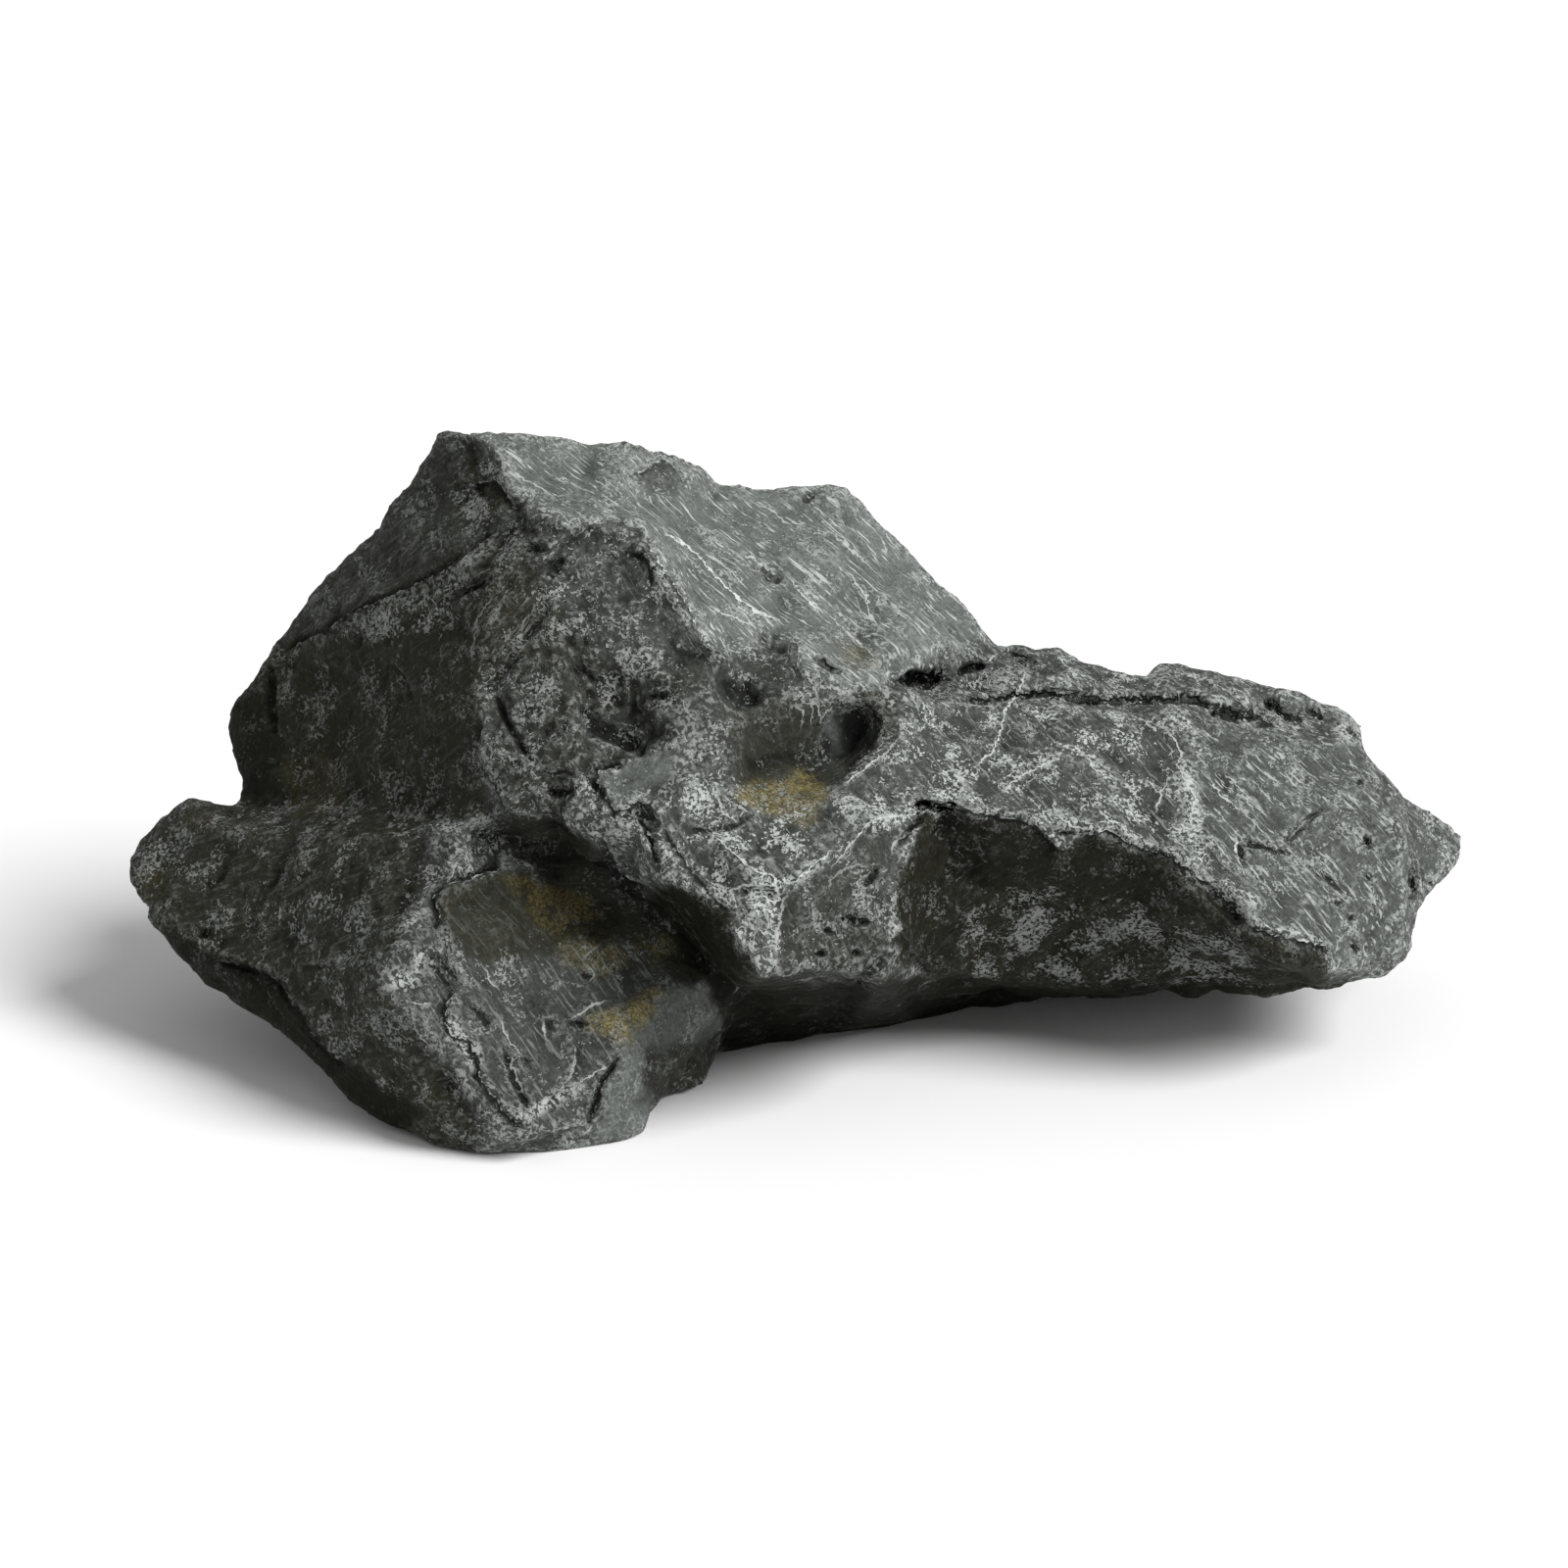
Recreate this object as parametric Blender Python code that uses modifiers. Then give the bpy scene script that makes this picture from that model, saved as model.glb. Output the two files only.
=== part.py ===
"""A rough dark rock, one solid piece of stone about 280 mm long, lying on its own flat underside.

The stone is laid out as a cage of corners and edges, the way it is seen from its front and a
little from above, and its hidden back and underside as corners in its own frame. The cage is
closed into one solid, given the knocks and hollows of broken stone, and cut flat where it rests.
"""

import math

import bmesh
import bpy
from mathutils import Vector, noise
from mathutils.geometry import delaunay_2d_cdt

MM = 0.001

# The line of sight that the visible corners are laid out along. It looks down on the stone.
SIGHT_TILT = math.radians(20.0)
SIGHT_DISTANCE = 1000.0
SIGHT_HEIGHT = 60.0  # of the point looked at, over the ground

# Surface of the stone, in millimetres.
CAGE_VOXEL = 1.6
CAGE_SMOOTH_STEPS = 1
SWELL_SIZE = 34.0
SWELL_HEIGHT = 1.6
CHIP_SIZE = 15.0
CHIP_HEIGHT = 1.5
GRAIN_SIZE = 6.0
GRAIN_HEIGHT = 0.4
FACET_BLEND = 0.3  # of a chip's size
WEATHER_RISE = 0.6  # keeps the outline where the cage has it
KEPT_SHARE = 0.092  # of the faces, once flat stretches are thinned
REST_TRIM = 0.25  # shaved off the underside, so that the stone rests on flat ground

# How the surface is worked.
SMOOTH_FACTOR = 0.5
FACET_SEED = 7.3  # changes which way each chip tilts
FACET_TILT = 2.0
FACET_DOME = 0.5  # how much a chip's middle stands over its rim
SHARP_ANGLE = math.radians(35.0)
WELD = 0.01  # corners closer than this, in millimetres, are one
CUT_PRECISION = 1e-7
LAYOUT_PRECISION = 1e-4

STONE_COLOUR = (0.075, 0.078, 0.075, 1)
STONE_ROUGHNESS = 0.85

GROUND = None  # stands for a depth that puts a corner on the ground

# Corners as (right, up, near) in millimetres about the point looked at. Right and up are measured
# on a plane through that point, square to the line of sight. Near is towards the viewer.
OUTLINE = [
    # crown
    (-65, 73.8, -4), (-48, 71.8, -8), (-32, 68.2, -14), (-22, 65, -19), (-12, 61.2, -24),
    (0, 59.8, -28), (8, 61, -30), (16.4, 58.3, -31), (26.6, 46.8, -29), (31.4, 41.4, -27),
    (38, 36.4, -26), (41.6, 29.6, -24),
    # far rim of the arm
    (46, 28.4, -30), (56, 28.4, -32), (62, 25, -32), (74, 21.4, -32), (78, 23.8, -36),
    (92, 22.6, -36), (104.4, 19.8, -34), (114.6, 16.8, -32), (118.6, 12.6, -28), (118.4, 7, -24),
    # spur at the end of the arm
    (125.4, -4, -26), (134, -7, -34), (139.6, -10, -38), (138.4, -14.4, -36), (129.6, -25, -22),
    # underside of the arm
    (128.6, -32.8, -14), (125.8, -37, -10), (120.4, -40.2, -12), (106, -41.4, -20),
    (98, -44, -18), (88, -42, -22), (83, -44.2, -20), (78, -41.6, -24), (70, -42, -26),
    (56, -44, -34),
    # where the body meets the ground
    (44, -45.4, GROUND), (26, -48.2, GROUND), (14, -50, GROUND), (0, -52.4, GROUND),
    (-11, -54.6, GROUND), (-14, -57.6, -10), (-15.6, -62.2, 0), (-23.5, -64.2, 4),
    # foot
    (-26, -65, 8), (-28, -69.6, 18), (-32, -73, GROUND), (-48, -75.4, GROUND),
    (-62, -76.4, GROUND), (-73, -74.4, GROUND), (-81, -70, 18), (-93, -61, 12), (-101, -54, 6),
    (-112.6, -44.8, -4), (-121, -37.4, -10), (-130.6, -25.4, -20), (-134, -20, -24),
    (-132.6, -15, -27), (-126, -7.6, -28), (-120, -3.2, -29), (-110.8, -3.8, -30),
    # shaded flank
    (-112.4, 4, -34), (-114.4, 11, -36), (-113.8, 15, -36), (-108, 21.6, -36),
    (-104.6, 29, -36), (-98.4, 34.4, -36), (-90.4, 44.4, -32), (-83.4, 53.4, -27),
    (-76.4, 62.4, -20), (-71, 72.2, -12),
]

# Edges and creases that run across the front. A corner that two lines share is given alike in both.
FRONT_LINES = {
    "brow": [
        (-65, 73.8, -4), (-56, 62, 5), (-52, 57, 9), (-42, 53.5, 11), (-32, 52, 9.5), (-28, 45, 13),
        (-22, 37, 17), (-17, 30, 21), (-14, 26.5, 23),
    ],
    "slab_foot": [
        (-14, 26.5, 23), (-6, 27, 17), (3, 26.5, 14), (8, 22, 16), (16, 20, 13), (24, 20, 6),
    ],
    "spine": [
        (-52, 57, 9), (-55, 48, 12), (-59, 38, 15), (-61, 30, 17.5), (-63, 20, 19), (-62, 10, 22),
        (-60, 0, 24), (-57, -6, 25),
    ],
    "flank_step": [
        (-52, 57, 9), (-64, 49, 5), (-74, 43, -2), (-88, 35, -13), (-98, 28, -29),
    ],
    "flank_end": [(-104, 20, -31), (-103, 8, -26), (-102, -1, -23)],
    "face_foot": [(-57, -6, 25), (-50, -7, 27), (-44, -6, 28), (-40, -3, 28)],
    "prow": [
        (-40, -3, 28), (-36, -6, 30), (-29, -9, 33), (-22, -17, 36), (-19, -22, 37),
        (-12, -30, 39), (-6, -38, 40), (0, -38.5, 38), (6, -37, 36), (14, -38.5, 31),
        (20, -40, 26), (22, -36, 27), (22.5, -30, 29), (23, -22, 29), (25, -14, 27),
        (28, -8, 24),
    ],
    "prow_ridge": [
        (28, -8, 24), (14, -14, 33), (4, -20, 38), (-8, -21, 39), (-19, -22, 37),
    ],
    "arm_edge": [
        (28, -8, 24), (34, -5.5, 22), (42, -7, 20), (52, -9.5, 18), (64, -10.5, 16),
        (72, -14, 15), (80, -19, 14.5), (88, -26.5, 15), (94, -32, 14), (100, -34.5, 12),
        (110, -37.5, 7), (116, -38, 0),
    ],
    "alcove_back": [(33, -11, 12), (29, -22, 10), (27.5, -32, 7), (28, -39, 2)],
    "alcove_foot": [
        (28, -39, 2), (46, -41, -10), (60, -41.5, -14), (72, -40, -16), (86, -38.5, -13),
        (100, -39.5, -10),
    ],
    "rim_crack": [
        (24, 20, 6), (32, 20, -4), (40, 20, -10), (52, 20, -15), (64, 18.5, -18), (76, 17.5, -20),
        (86, 16.5, -21), (98, 13, -20), (106, 10, -19),
    ],
    "arm_crest": [(78, 14, -16), (81, 0, -1), (84, -12, 8), (94, -32, 14)],
    "arm_end": [
        (118.4, 7, -24), (122, -2, -15), (125, -12, -10), (126.5, -20, -8), (127, -27, -8),
        (124, -34, -6),
    ],
    "spur_root": [(126.5, -8, -25), (128.5, -15, -23), (128.8, -22, -21)],
    "recess": [
        (-58, -10, 12), (-50, -12, 9), (-38, -13, 8), (-30, -20, 8), (-22, -29, 7),
        (-15, -37, 5), (-9, -42, 2),
    ],
    "foot_ridge": [
        (-56, -16, 15), (-64, -18, 19), (-69, -20, 24), (-70, -27, 27), (-78, -32, 29),
        (-82, -38, 30.5), (-80, -46, 32), (-73, -53, 34), (-66, -61, 35), (-60, -67.5, 35),
        (-50, -71, 33),
    ],
    "toe_edge": [
        (-16, -41, 8), (-24, -41, 13), (-26, -46, 16), (-31, -56, 21), (-36, -66, 25),
        (-39, -71, 27),
    ],
    "foot_top": [
        (-114, -9, -14), (-98, -10, -1), (-84, -10, 13), (-74, -9, 19), (-66, -9, 21),
    ],
    "foot_crease": [
        (-106, -3.5, -28), (-94, -4, -15), (-82, -4, -1), (-74, -4, 9), (-66, -3, 17),
    ],
    "foot_belly": [
        (-128, -27, -14), (-112, -40, 1), (-96, -50, 14), (-84, -60, 24), (-72, -68, 31),
        (-60, -72, 33.5),
    ],
    "hollow_rim": [
        (-11, 7, 25), (-8, 15, 22), (0, 17, 19), (8, 17, 16), (16, 16.5, 12.5), (19, 14, 12),
        (19, 8, 15), (14, 2, 22), (9, -3, 27), (0, -6.5, 31), (-6, -5, 31), (-11, -1, 30),
        (-11, 7, 25),
    ],
    "hollow_floor": [(-6, 3, 19), (0, 4, 15), (6, 4, 12), (12, 6, 3), (15, 11, 1)],
}

# Single corners between the lines, where a face bulges or sinks.
FRONT_CORNERS = [
    # crown slab
    (-44, 62, -1), (-20, 55, -8), (-6, 46, -8), (10, 46, -13), (-8, 36, 4), (12, 33, -2),
    (26, 33, -9), (32, 27, -9),
    # front face and its shallow pit
    (-42, 40, 15), (-48, 24, 20), (-36, 26, 20), (-46, 8, 25), (-32, 12, 19), (-26, 20, 23.5),
    (-34, 3, 28), (-22, 8, 28),
    # prow
    (-14, 18, 25), (-20, -2, 32), (-12, -10, 35), (4, -11, 33), (16, -6, 28), (24, 2, 19),
    (25, 12, 12), (8, -29, 38), (-6, -29, 40),
    # arm
    (36, 8, 8), (48, 6, 5), (62, 4, 4), (66, 12, -9), (94, 4, -8), (102, -4, -5),
    (112, -12, -4), (108, -24, 4), (118, -26, -1), (98, -22, 6),
    # alcove under the arm
    (44, -20, 7), (58, -24, 4), (74, -28, 2), (88, -35, 0),
    # shaded flank
    (-76, 24, -1), (-90, 16, -16), (-74, 8, 8), (-96, 4, -20), (-66, 60, -6),
    # foot
    (-56, -30, 22), (-44, -24, 14), (-44, -34, 18), (-32, -30, 12), (-54, -46, 26),
    (-40, -50, 22), (-50, -60, 29), (-84, -20, 19), (-100, -20, 3), (-96, -34, 13),
    (-112, -24, -6), (-120, -16, -16), (-88, -46, 24), (-18, -50, 9), (-22, -58, 8),
    # hollow under the prow
    (0, -44, -6), (14, -43, -10), (30, -43.5, -16), (44, -42.7, -26), (6, -47.5, -22),
]

# Hidden corners as (x, y, z) in the stone's frame, in millimetres, with y towards the back.
BACK_CORNERS = [
    # shoulder behind the crown
    (-62, 46, 103), (-42, 57, 92), (-18, 58, 93), (4, 64, 84), (22, 60, 77), (36, 60, 63),
    # upper back and its ledge
    (-90, 50, 64), (-76, 58, 78), (-58, 66, 74), (-36, 72, 76), (-14, 74, 69), (12, 77, 60),
    (-44, 64, 60), (-12, 68, 54),
    # lower back
    (-98, 52, 38), (-70, 66, 42), (-44, 74, 42), (-12, 80, 40), (18, 76, 34), (42, 72, 44),
    # behind the arm
    (62, 68, 50), (80, 74, 44), (98, 68, 42), (114, 60, 36), (126, 50, 34), (133, 43, 30),
    (70, 80, 27), (94, 78, 22), (125, 50, 19),
    # along the foot of the back
    (-104, 46, 20), (-84, 60, 12), (-56, 69, 9), (-26, 76, 6), (6, 80, 9), (34, 80, 8),
    (62, 82, 6), (92, 78, 6), (112, 60, 10),
    # patches that it rests on
    (-72, 44, -3), (-60, 54, -3), (74, 70, -3), (90, 67, -3), (84, 75, -3), (26, 52, -3),
    (-60, -20, -3), (-48, -12, -3), (4, 34, -3),
    # hollows between them
    (-44, 22, 5), (-14, 58, 4), (52, 66, 5), (-100, 4, 20), (-86, 22, 12),
]

# The back starts with a shoulder just inside and behind the outline, so that no edge is thin.
SHOULDER_IN = 5.0
SHOULDER_BACK = 16.0

# Ridges and cracks as seen, each as (height, half width, points) in millimetres. A height under
# zero sinks. They are pressed into the side that faces the viewer.
MARKS = {
    "crown_flake": (2.4, 4.0, [(-33, 65.5), (-26, 65), (-20, 62)]),
    "crown_ledge": (1.4, 3.0, [(-20, 62.5), (-11, 60.5)]),
    "crown_bump": (1.6, 4.0, [(3, 59), (10, 59)]),
    "crown_pocket": (-2.6, 6.0, [(-63, 66), (-60, 60), (-58, 54)]),
    "slab_pits": (-1.2, 3.0, [(-5, 44), (0, 40)]),
    "slab_rim": (1.4, 2.6, [(-52, 56), (-40, 53), (-30, 51.5), (-26, 45), (-20, 36), (-13, 26.5)]),
    "face_pit": (-1.8, 5.0, [(-35, 18), (-31, 8)]),
    "face_knob": (1.6, 3.0, [(-34, 15), (-33, 13)]),
    "face_flake": (1.2, 6.0, [(-36, 3), (-26, -1)]),
    "face_lump": (2.2, 4.0, [(-42, -2), (-39, -9)]),
    "hanging_block": (1.8, 6.0, [(-35, -9), (-26, -16)]),
    "dimple": (-2.2, 5.0, [(-17, 27), (-10, 25), (-3, 24)]),
    "low_dimple": (-1.6, 3.0, [(-11, 20), (-8, 18)]),
    "saddle_pits": (-3.0, 2.6, [(24, 22), (31, 20.5)]),
    "saddle_notch": (-2.6, 2.6, [(33, 24.5), (40, 22.5)]),
    "arm_crack": (-2.0, 1.8, [(40, 21), (49, 18.6), (70, 17), (80, 17), (88, 15), (98, 13)]),
    "arm_holes": (-2.6, 3.0, [(99, 16), (109, 13)]),
    "arm_ridge": (1.4, 3.0, [(78, 14), (82, 6), (81, -6), (88, -14), (98, -30), (110, -38)]),
    "alcove_slot": (-3.0, 2.0, [(27, -6.5), (33, -7)]),
    "prow_ridge_left": (1.4, 2.6, [(-20, -8), (-6.4, -18), (-4, -36)]),
    "prow_ridge_right": (1.4, 2.6, [(-6.4, -18), (4, -14), (14, -7), (26, -7)]),
    "prow_lip": (1.6, 2.6, [(-36, -7), (-20, -20), (-7, -37)]),
    "foot_rim": (
        1.6, 2.6,
        [
            (-72, -10), (-65, -20), (-72, -23), (-75, -30), (-82, -34), (-82, -42), (-74, -49),
            (-66, -57), (-61, -65), (-54, -69),
        ],
    ),
}


def sight_axes():
    """Unit vectors to the right, up and near of the line of sight, and the point looked at."""
    right = Vector((1, 0, 0))
    up = Vector((0, math.sin(SIGHT_TILT), math.cos(SIGHT_TILT)))
    near = Vector((0, -math.cos(SIGHT_TILT), math.sin(SIGHT_TILT)))
    return right, up, near, Vector((0, 0, SIGHT_HEIGHT))


def depth_on_ground(up_mm):
    """How near a corner is that is seen at this height and stands on the ground."""
    rise = math.cos(SIGHT_TILT) * up_mm
    return (-SIGHT_HEIGHT - rise) / (math.sin(SIGHT_TILT) - rise / SIGHT_DISTANCE)


def placed(right_mm, up_mm, near_mm):
    """The place in the stone's frame of a corner that is given as it is seen."""
    if near_mm is GROUND:
        near_mm = depth_on_ground(up_mm)
    right, up, near, looked_at = sight_axes()
    shrink = 1 - near_mm / SIGHT_DISTANCE
    return looked_at + right * right_mm * shrink + up * up_mm * shrink + near * near_mm


def seen(place):
    """Where a corner of the stone's frame is seen, as (right, up)."""
    right, up, near, looked_at = sight_axes()
    offset = place - looked_at
    shrink = 1 - offset.dot(near) / SIGHT_DISTANCE
    return Vector((offset.dot(right) / shrink, offset.dot(up) / shrink))


def shoulder():
    """Corners just inside the outline and behind it, as places in the stone's frame."""
    places = []
    for index, corner in enumerate(OUTLINE):
        before = Vector(OUTLINE[index - 1][:2])
        after = Vector(OUTLINE[(index + 1) % len(OUTLINE)][:2])
        along = (after - before).normalized()
        inward = Vector((along.y, -along.x)) * SHOULDER_IN
        right_mm, up_mm, near_mm = corner
        if near_mm is GROUND:
            near_mm = depth_on_ground(up_mm)
        places.append(placed(right_mm + inward.x, up_mm + inward.y, near_mm - SHOULDER_BACK))
    return places


def relief(lines, corners):
    """Places and triangles of one side of the cage, which fills the outline as it is seen."""
    spots = {}
    edges = []

    def index_of(spot, place):
        key = (round(spot.x, 3), round(spot.y, 3))
        if key not in spots:
            spots[key] = (len(spots), place)
        return spots[key][0]

    ring = [index_of(Vector(corner[:2]), placed(*corner)) for corner in OUTLINE]
    for line in lines:
        run = [index_of(Vector(corner[:2]), placed(*corner)) for corner in line]
        edges += list(zip(run, run[1:]))
    for place in corners:
        index_of(seen(place), place)
    flat = [Vector(key) for key in spots]
    made = delaunay_2d_cdt(flat, edges, [ring], 1, LAYOUT_PRECISION)
    crossings = [tuple(made[0][new]) for new, old in enumerate(made[3]) if not old]
    kept = {index for old in made[3] for index in old}
    outside = [tuple(flat[index]) for index in range(len(flat)) if index not in kept]
    if crossings or outside:
        raise ValueError(f"lines of the cage cross at {crossings}, and {outside} lie outside")
    places = [None] * len(flat)
    for new, old in enumerate(made[3]):
        places[new] = list(spots.values())[old[0]][1]
    return places, made[2]


def build_cage():
    """The closed cage: the front relief and the back relief, sharing their outline."""
    front = relief(FRONT_LINES.values(), [placed(*corner) for corner in FRONT_CORNERS])
    back = relief([], shoulder() + [Vector(corner) for corner in BACK_CORNERS])
    cage = bmesh.new()
    for places, triangles in (front, back):
        corners = [cage.verts.new(place * MM) for place in places]
        for triangle in triangles:
            cage.faces.new([corners[i] for i in triangle])
    bmesh.ops.remove_doubles(cage, verts=cage.verts, dist=WELD * MM)
    bmesh.ops.recalc_face_normals(cage, faces=cage.faces)
    mesh = bpy.data.meshes.new("rock")
    cage.to_mesh(mesh)
    cage.free()
    return mesh


def apply_modifier(stone, kind, **settings):
    modifier = stone.modifiers.new(kind.title(), kind)
    for name, value in settings.items():
        setattr(modifier, name, value)
    graph = bpy.context.evaluated_depsgraph_get()
    graph.update()
    made = bpy.data.meshes.new_from_object(stone.evaluated_get(graph))
    stone.modifiers.clear()
    stone.data = made


def chipped(place):
    """Height of broken facets: each cell is a tilted plane, blended into the next at its rim."""
    distances, centres = noise.voronoi(place)
    total = 0
    weights = 0
    for distance, centre in zip(distances, centres):
        weight = max(0, 1 - (distance - distances[0]) / FACET_BLEND) ** 2
        tilt = noise.cell_vector(centre * FACET_SEED) - Vector((0.5, 0.5, 0.5))
        total += weight * tilt.dot(place - centre) * FACET_TILT
        weights += weight
    return total / weights - distances[0] * FACET_DOME


def distance_to_line(spot, points):
    nearest = math.inf
    for start, end in zip(points, points[1:]):
        along = end - start
        share = (spot - start).dot(along) / along.length_squared
        nearest = min(nearest, (spot - start - along * min(max(share, 0), 1)).length)
    return nearest


def pressed(spot):
    """Height that the marks give to a place on the front, seen at this spot."""
    height = 0
    for rise, half_width, points in MARKS.values():
        distance = distance_to_line(spot, [Vector(point) for point in points])
        if distance < half_width * 2:
            height += rise * (0.5 + 0.5 * math.cos(math.pi * distance / (half_width * 2)))
    return height


def weather(stone):
    """Pushes the surface out and in: the marks, broad swells, chipped facets and grain."""
    mesh = stone.data
    near = sight_axes()[2]
    normals = [vertex.normal.copy() for vertex in mesh.vertices]
    for vertex, normal in zip(mesh.vertices, normals):
        place = vertex.co / MM
        lift = WEATHER_RISE + SWELL_HEIGHT * noise.noise(place / SWELL_SIZE)
        lift += CHIP_HEIGHT * chipped(place / CHIP_SIZE)
        lift += GRAIN_HEIGHT * noise.noise(place / GRAIN_SIZE)
        if normal.dot(near) > 0:
            lift += pressed(seen(place))
        vertex.co += normal * lift * MM


def drop_loose_chips(work):
    """Removes what is not joined to the main body, such as a sliver cut off at the ground."""
    bodies = []
    unseen = set(work.verts)
    while unseen:
        body = {unseen.pop()}
        fresh = set(body)
        while fresh:
            fresh = {edge.other_vert(vertex) for vertex in fresh for edge in vertex.link_edges} - body
            body |= fresh
        unseen -= body
        bodies.append(body)
    main_body = max(bodies, key=len)
    loose = [vertex for vertex in work.verts if vertex not in main_body]
    bmesh.ops.delete(work, geom=loose, context="VERTS")


def cut_rest(stone):
    """Cuts the underside flat on the ground plane and closes it."""
    work = bmesh.new()
    work.from_mesh(stone.data)
    bmesh.ops.bisect_plane(
        work, geom=work.verts[:] + work.edges[:] + work.faces[:], dist=CUT_PRECISION,
        plane_co=(0, 0, REST_TRIM * MM), plane_no=(0, 0, -1), clear_outer=True,
    )
    drop_loose_chips(work)
    rims = [edge for edge in work.edges if edge.is_boundary]
    bmesh.ops.holes_fill(work, edges=rims)
    bmesh.ops.triangulate(work, faces=work.faces)
    bmesh.ops.recalc_face_normals(work, faces=work.faces)
    work.to_mesh(stone.data)
    work.free()


def stand_on_origin(stone):
    """Moves the stone so that the middle of its underside box is the origin."""
    xs, ys, zs = zip(*(vertex.co for vertex in stone.data.vertices))
    middle = Vector(((min(xs) + max(xs)) / 2, (min(ys) + max(ys)) / 2, min(zs)))
    for vertex in stone.data.vertices:
        vertex.co -= middle
    print("moved to the origin by", [round(-value / MM, 3) for value in middle])


def stone_material():
    material = bpy.data.materials.new("dark_stone")
    material.use_nodes = True
    shader = material.node_tree.nodes["Principled BSDF"]
    shader.inputs["Base Color"].default_value = STONE_COLOUR
    shader.inputs["Roughness"].default_value = STONE_ROUGHNESS
    shader.inputs["Metallic"].default_value = 0.0
    return material


def main():
    for old in list(bpy.data.objects):
        bpy.data.objects.remove(old)
    stone = bpy.data.objects.new("rock", build_cage())
    home = bpy.data.collections.new("rough_rock")
    bpy.context.scene.collection.children.link(home)
    home.objects.link(stone)
    apply_modifier(stone, "REMESH", mode="VOXEL", voxel_size=CAGE_VOXEL * MM)
    apply_modifier(stone, "SMOOTH", factor=SMOOTH_FACTOR, iterations=CAGE_SMOOTH_STEPS)
    weather(stone)
    apply_modifier(stone, "DECIMATE", ratio=KEPT_SHARE)
    cut_rest(stone)
    stand_on_origin(stone)
    stone.data.materials.clear()
    stone.data.materials.append(stone_material())
    stone.data.shade_smooth()
    stone.data.set_sharp_from_angle(angle=SHARP_ANGLE)


main()
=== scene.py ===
"""Looks of the rough rock: its broken surface, its chalky grain and stains, and a plain studio.

The stone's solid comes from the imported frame. The front of the stone is described here by what
is seen of it, as places in millimetres to the right of and above the point looked at.
"""

import math

import bpy
import numpy as np
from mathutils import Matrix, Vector, noise


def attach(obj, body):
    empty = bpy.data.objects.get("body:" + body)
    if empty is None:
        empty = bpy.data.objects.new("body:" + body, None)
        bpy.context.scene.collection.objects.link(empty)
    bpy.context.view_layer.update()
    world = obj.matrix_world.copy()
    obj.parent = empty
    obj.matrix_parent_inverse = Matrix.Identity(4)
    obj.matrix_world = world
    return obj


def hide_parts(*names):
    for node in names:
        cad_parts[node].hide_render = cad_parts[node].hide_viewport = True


bl_info = {
    "name": "Rough rock looks",
    "version": (1, 0, 0),
    "blender": (4, 5, 0),
    "location": "View3D > Sidebar > Rough rock",
    "description": "Weathers the rough rock, gives it its stone finish and sets up its studio",
    "category": "Object",
}

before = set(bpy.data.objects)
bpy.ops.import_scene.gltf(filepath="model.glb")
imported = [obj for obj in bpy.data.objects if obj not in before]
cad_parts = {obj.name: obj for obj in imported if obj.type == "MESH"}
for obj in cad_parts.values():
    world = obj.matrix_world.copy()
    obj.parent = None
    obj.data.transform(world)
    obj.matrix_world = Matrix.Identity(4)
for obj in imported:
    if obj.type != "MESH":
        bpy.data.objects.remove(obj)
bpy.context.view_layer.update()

MM = 0.001

# The camera's line of sight
LOOKED_AT = Vector((-0.0036, -0.0131, 0.0598))
SIGHT_TILT = math.radians(20.0)
SIGHT_DISTANCE = 1.0
SIGHT_WIDTH = 0.32
SENSOR_WIDTH = 36.0
RIGHT = Vector((1, 0, 0))
UP = Vector((0, math.sin(SIGHT_TILT), math.cos(SIGHT_TILT)))
NEAR = Vector((0, -math.cos(SIGHT_TILT), math.sin(SIGHT_TILT)))

# How far the stone has to turn to the camera to show what is drawn on its front
SHOWN_FROM = 0.02
FULLY_SHOWN = 0.3

# How drawn lines are shaped, in millimetres
LINE_TAPER = 2.0
LINE_REACH = 2.2
STEP_CREST = 0.4
SMALLEST_CRACK = 0.7
SOFT_PIT = 1.5
THIN_CRACK = 0.9
WIDEST_DARK = 2.2
FULL_PIT = 3.2
# Step height at which the painted shadow below a step is full
FULL_LEDGE = 1.6
LINE_WANDER = 0.5

# How the marks of the front wander and blend, and which sizes their wear and painted crevice shade
# are read at
WANDER_SIZE = 5 * MM
STAIN_WANDER = 1.5
STAIN_BLEND_STEPS = 5
ROUGH_BLEND_STEPS = 8
FINE_STEPS = 6
BROAD_STEPS = 60
HIDDEN_SHADE = 25 * MM

# How the chipped facets and the crumbs are shaped
FACET_BLEND = 0.2
FACET_SEED = 7.3
COARSE_FACET = 11 * MM
FINE_FACET = 5 * MM
HIDDEN_FACET = 28 * MM
FINE_FACET_SHARE = 0.6
HIDDEN_FACET_SHARE = 2.5
COARSE_CRUMB = 3.2 * MM
FINE_CRUMB = 1.6 * MM
RESTING_BAND = (0.2 * MM, 3 * MM)
MERGE_DISTANCE = 0.01 * MM

# The soft light from the upper right
KEY_COURSE = Vector((-0.70, 0.34, -0.74))
KEY_ANGLE = math.radians(32)
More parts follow.
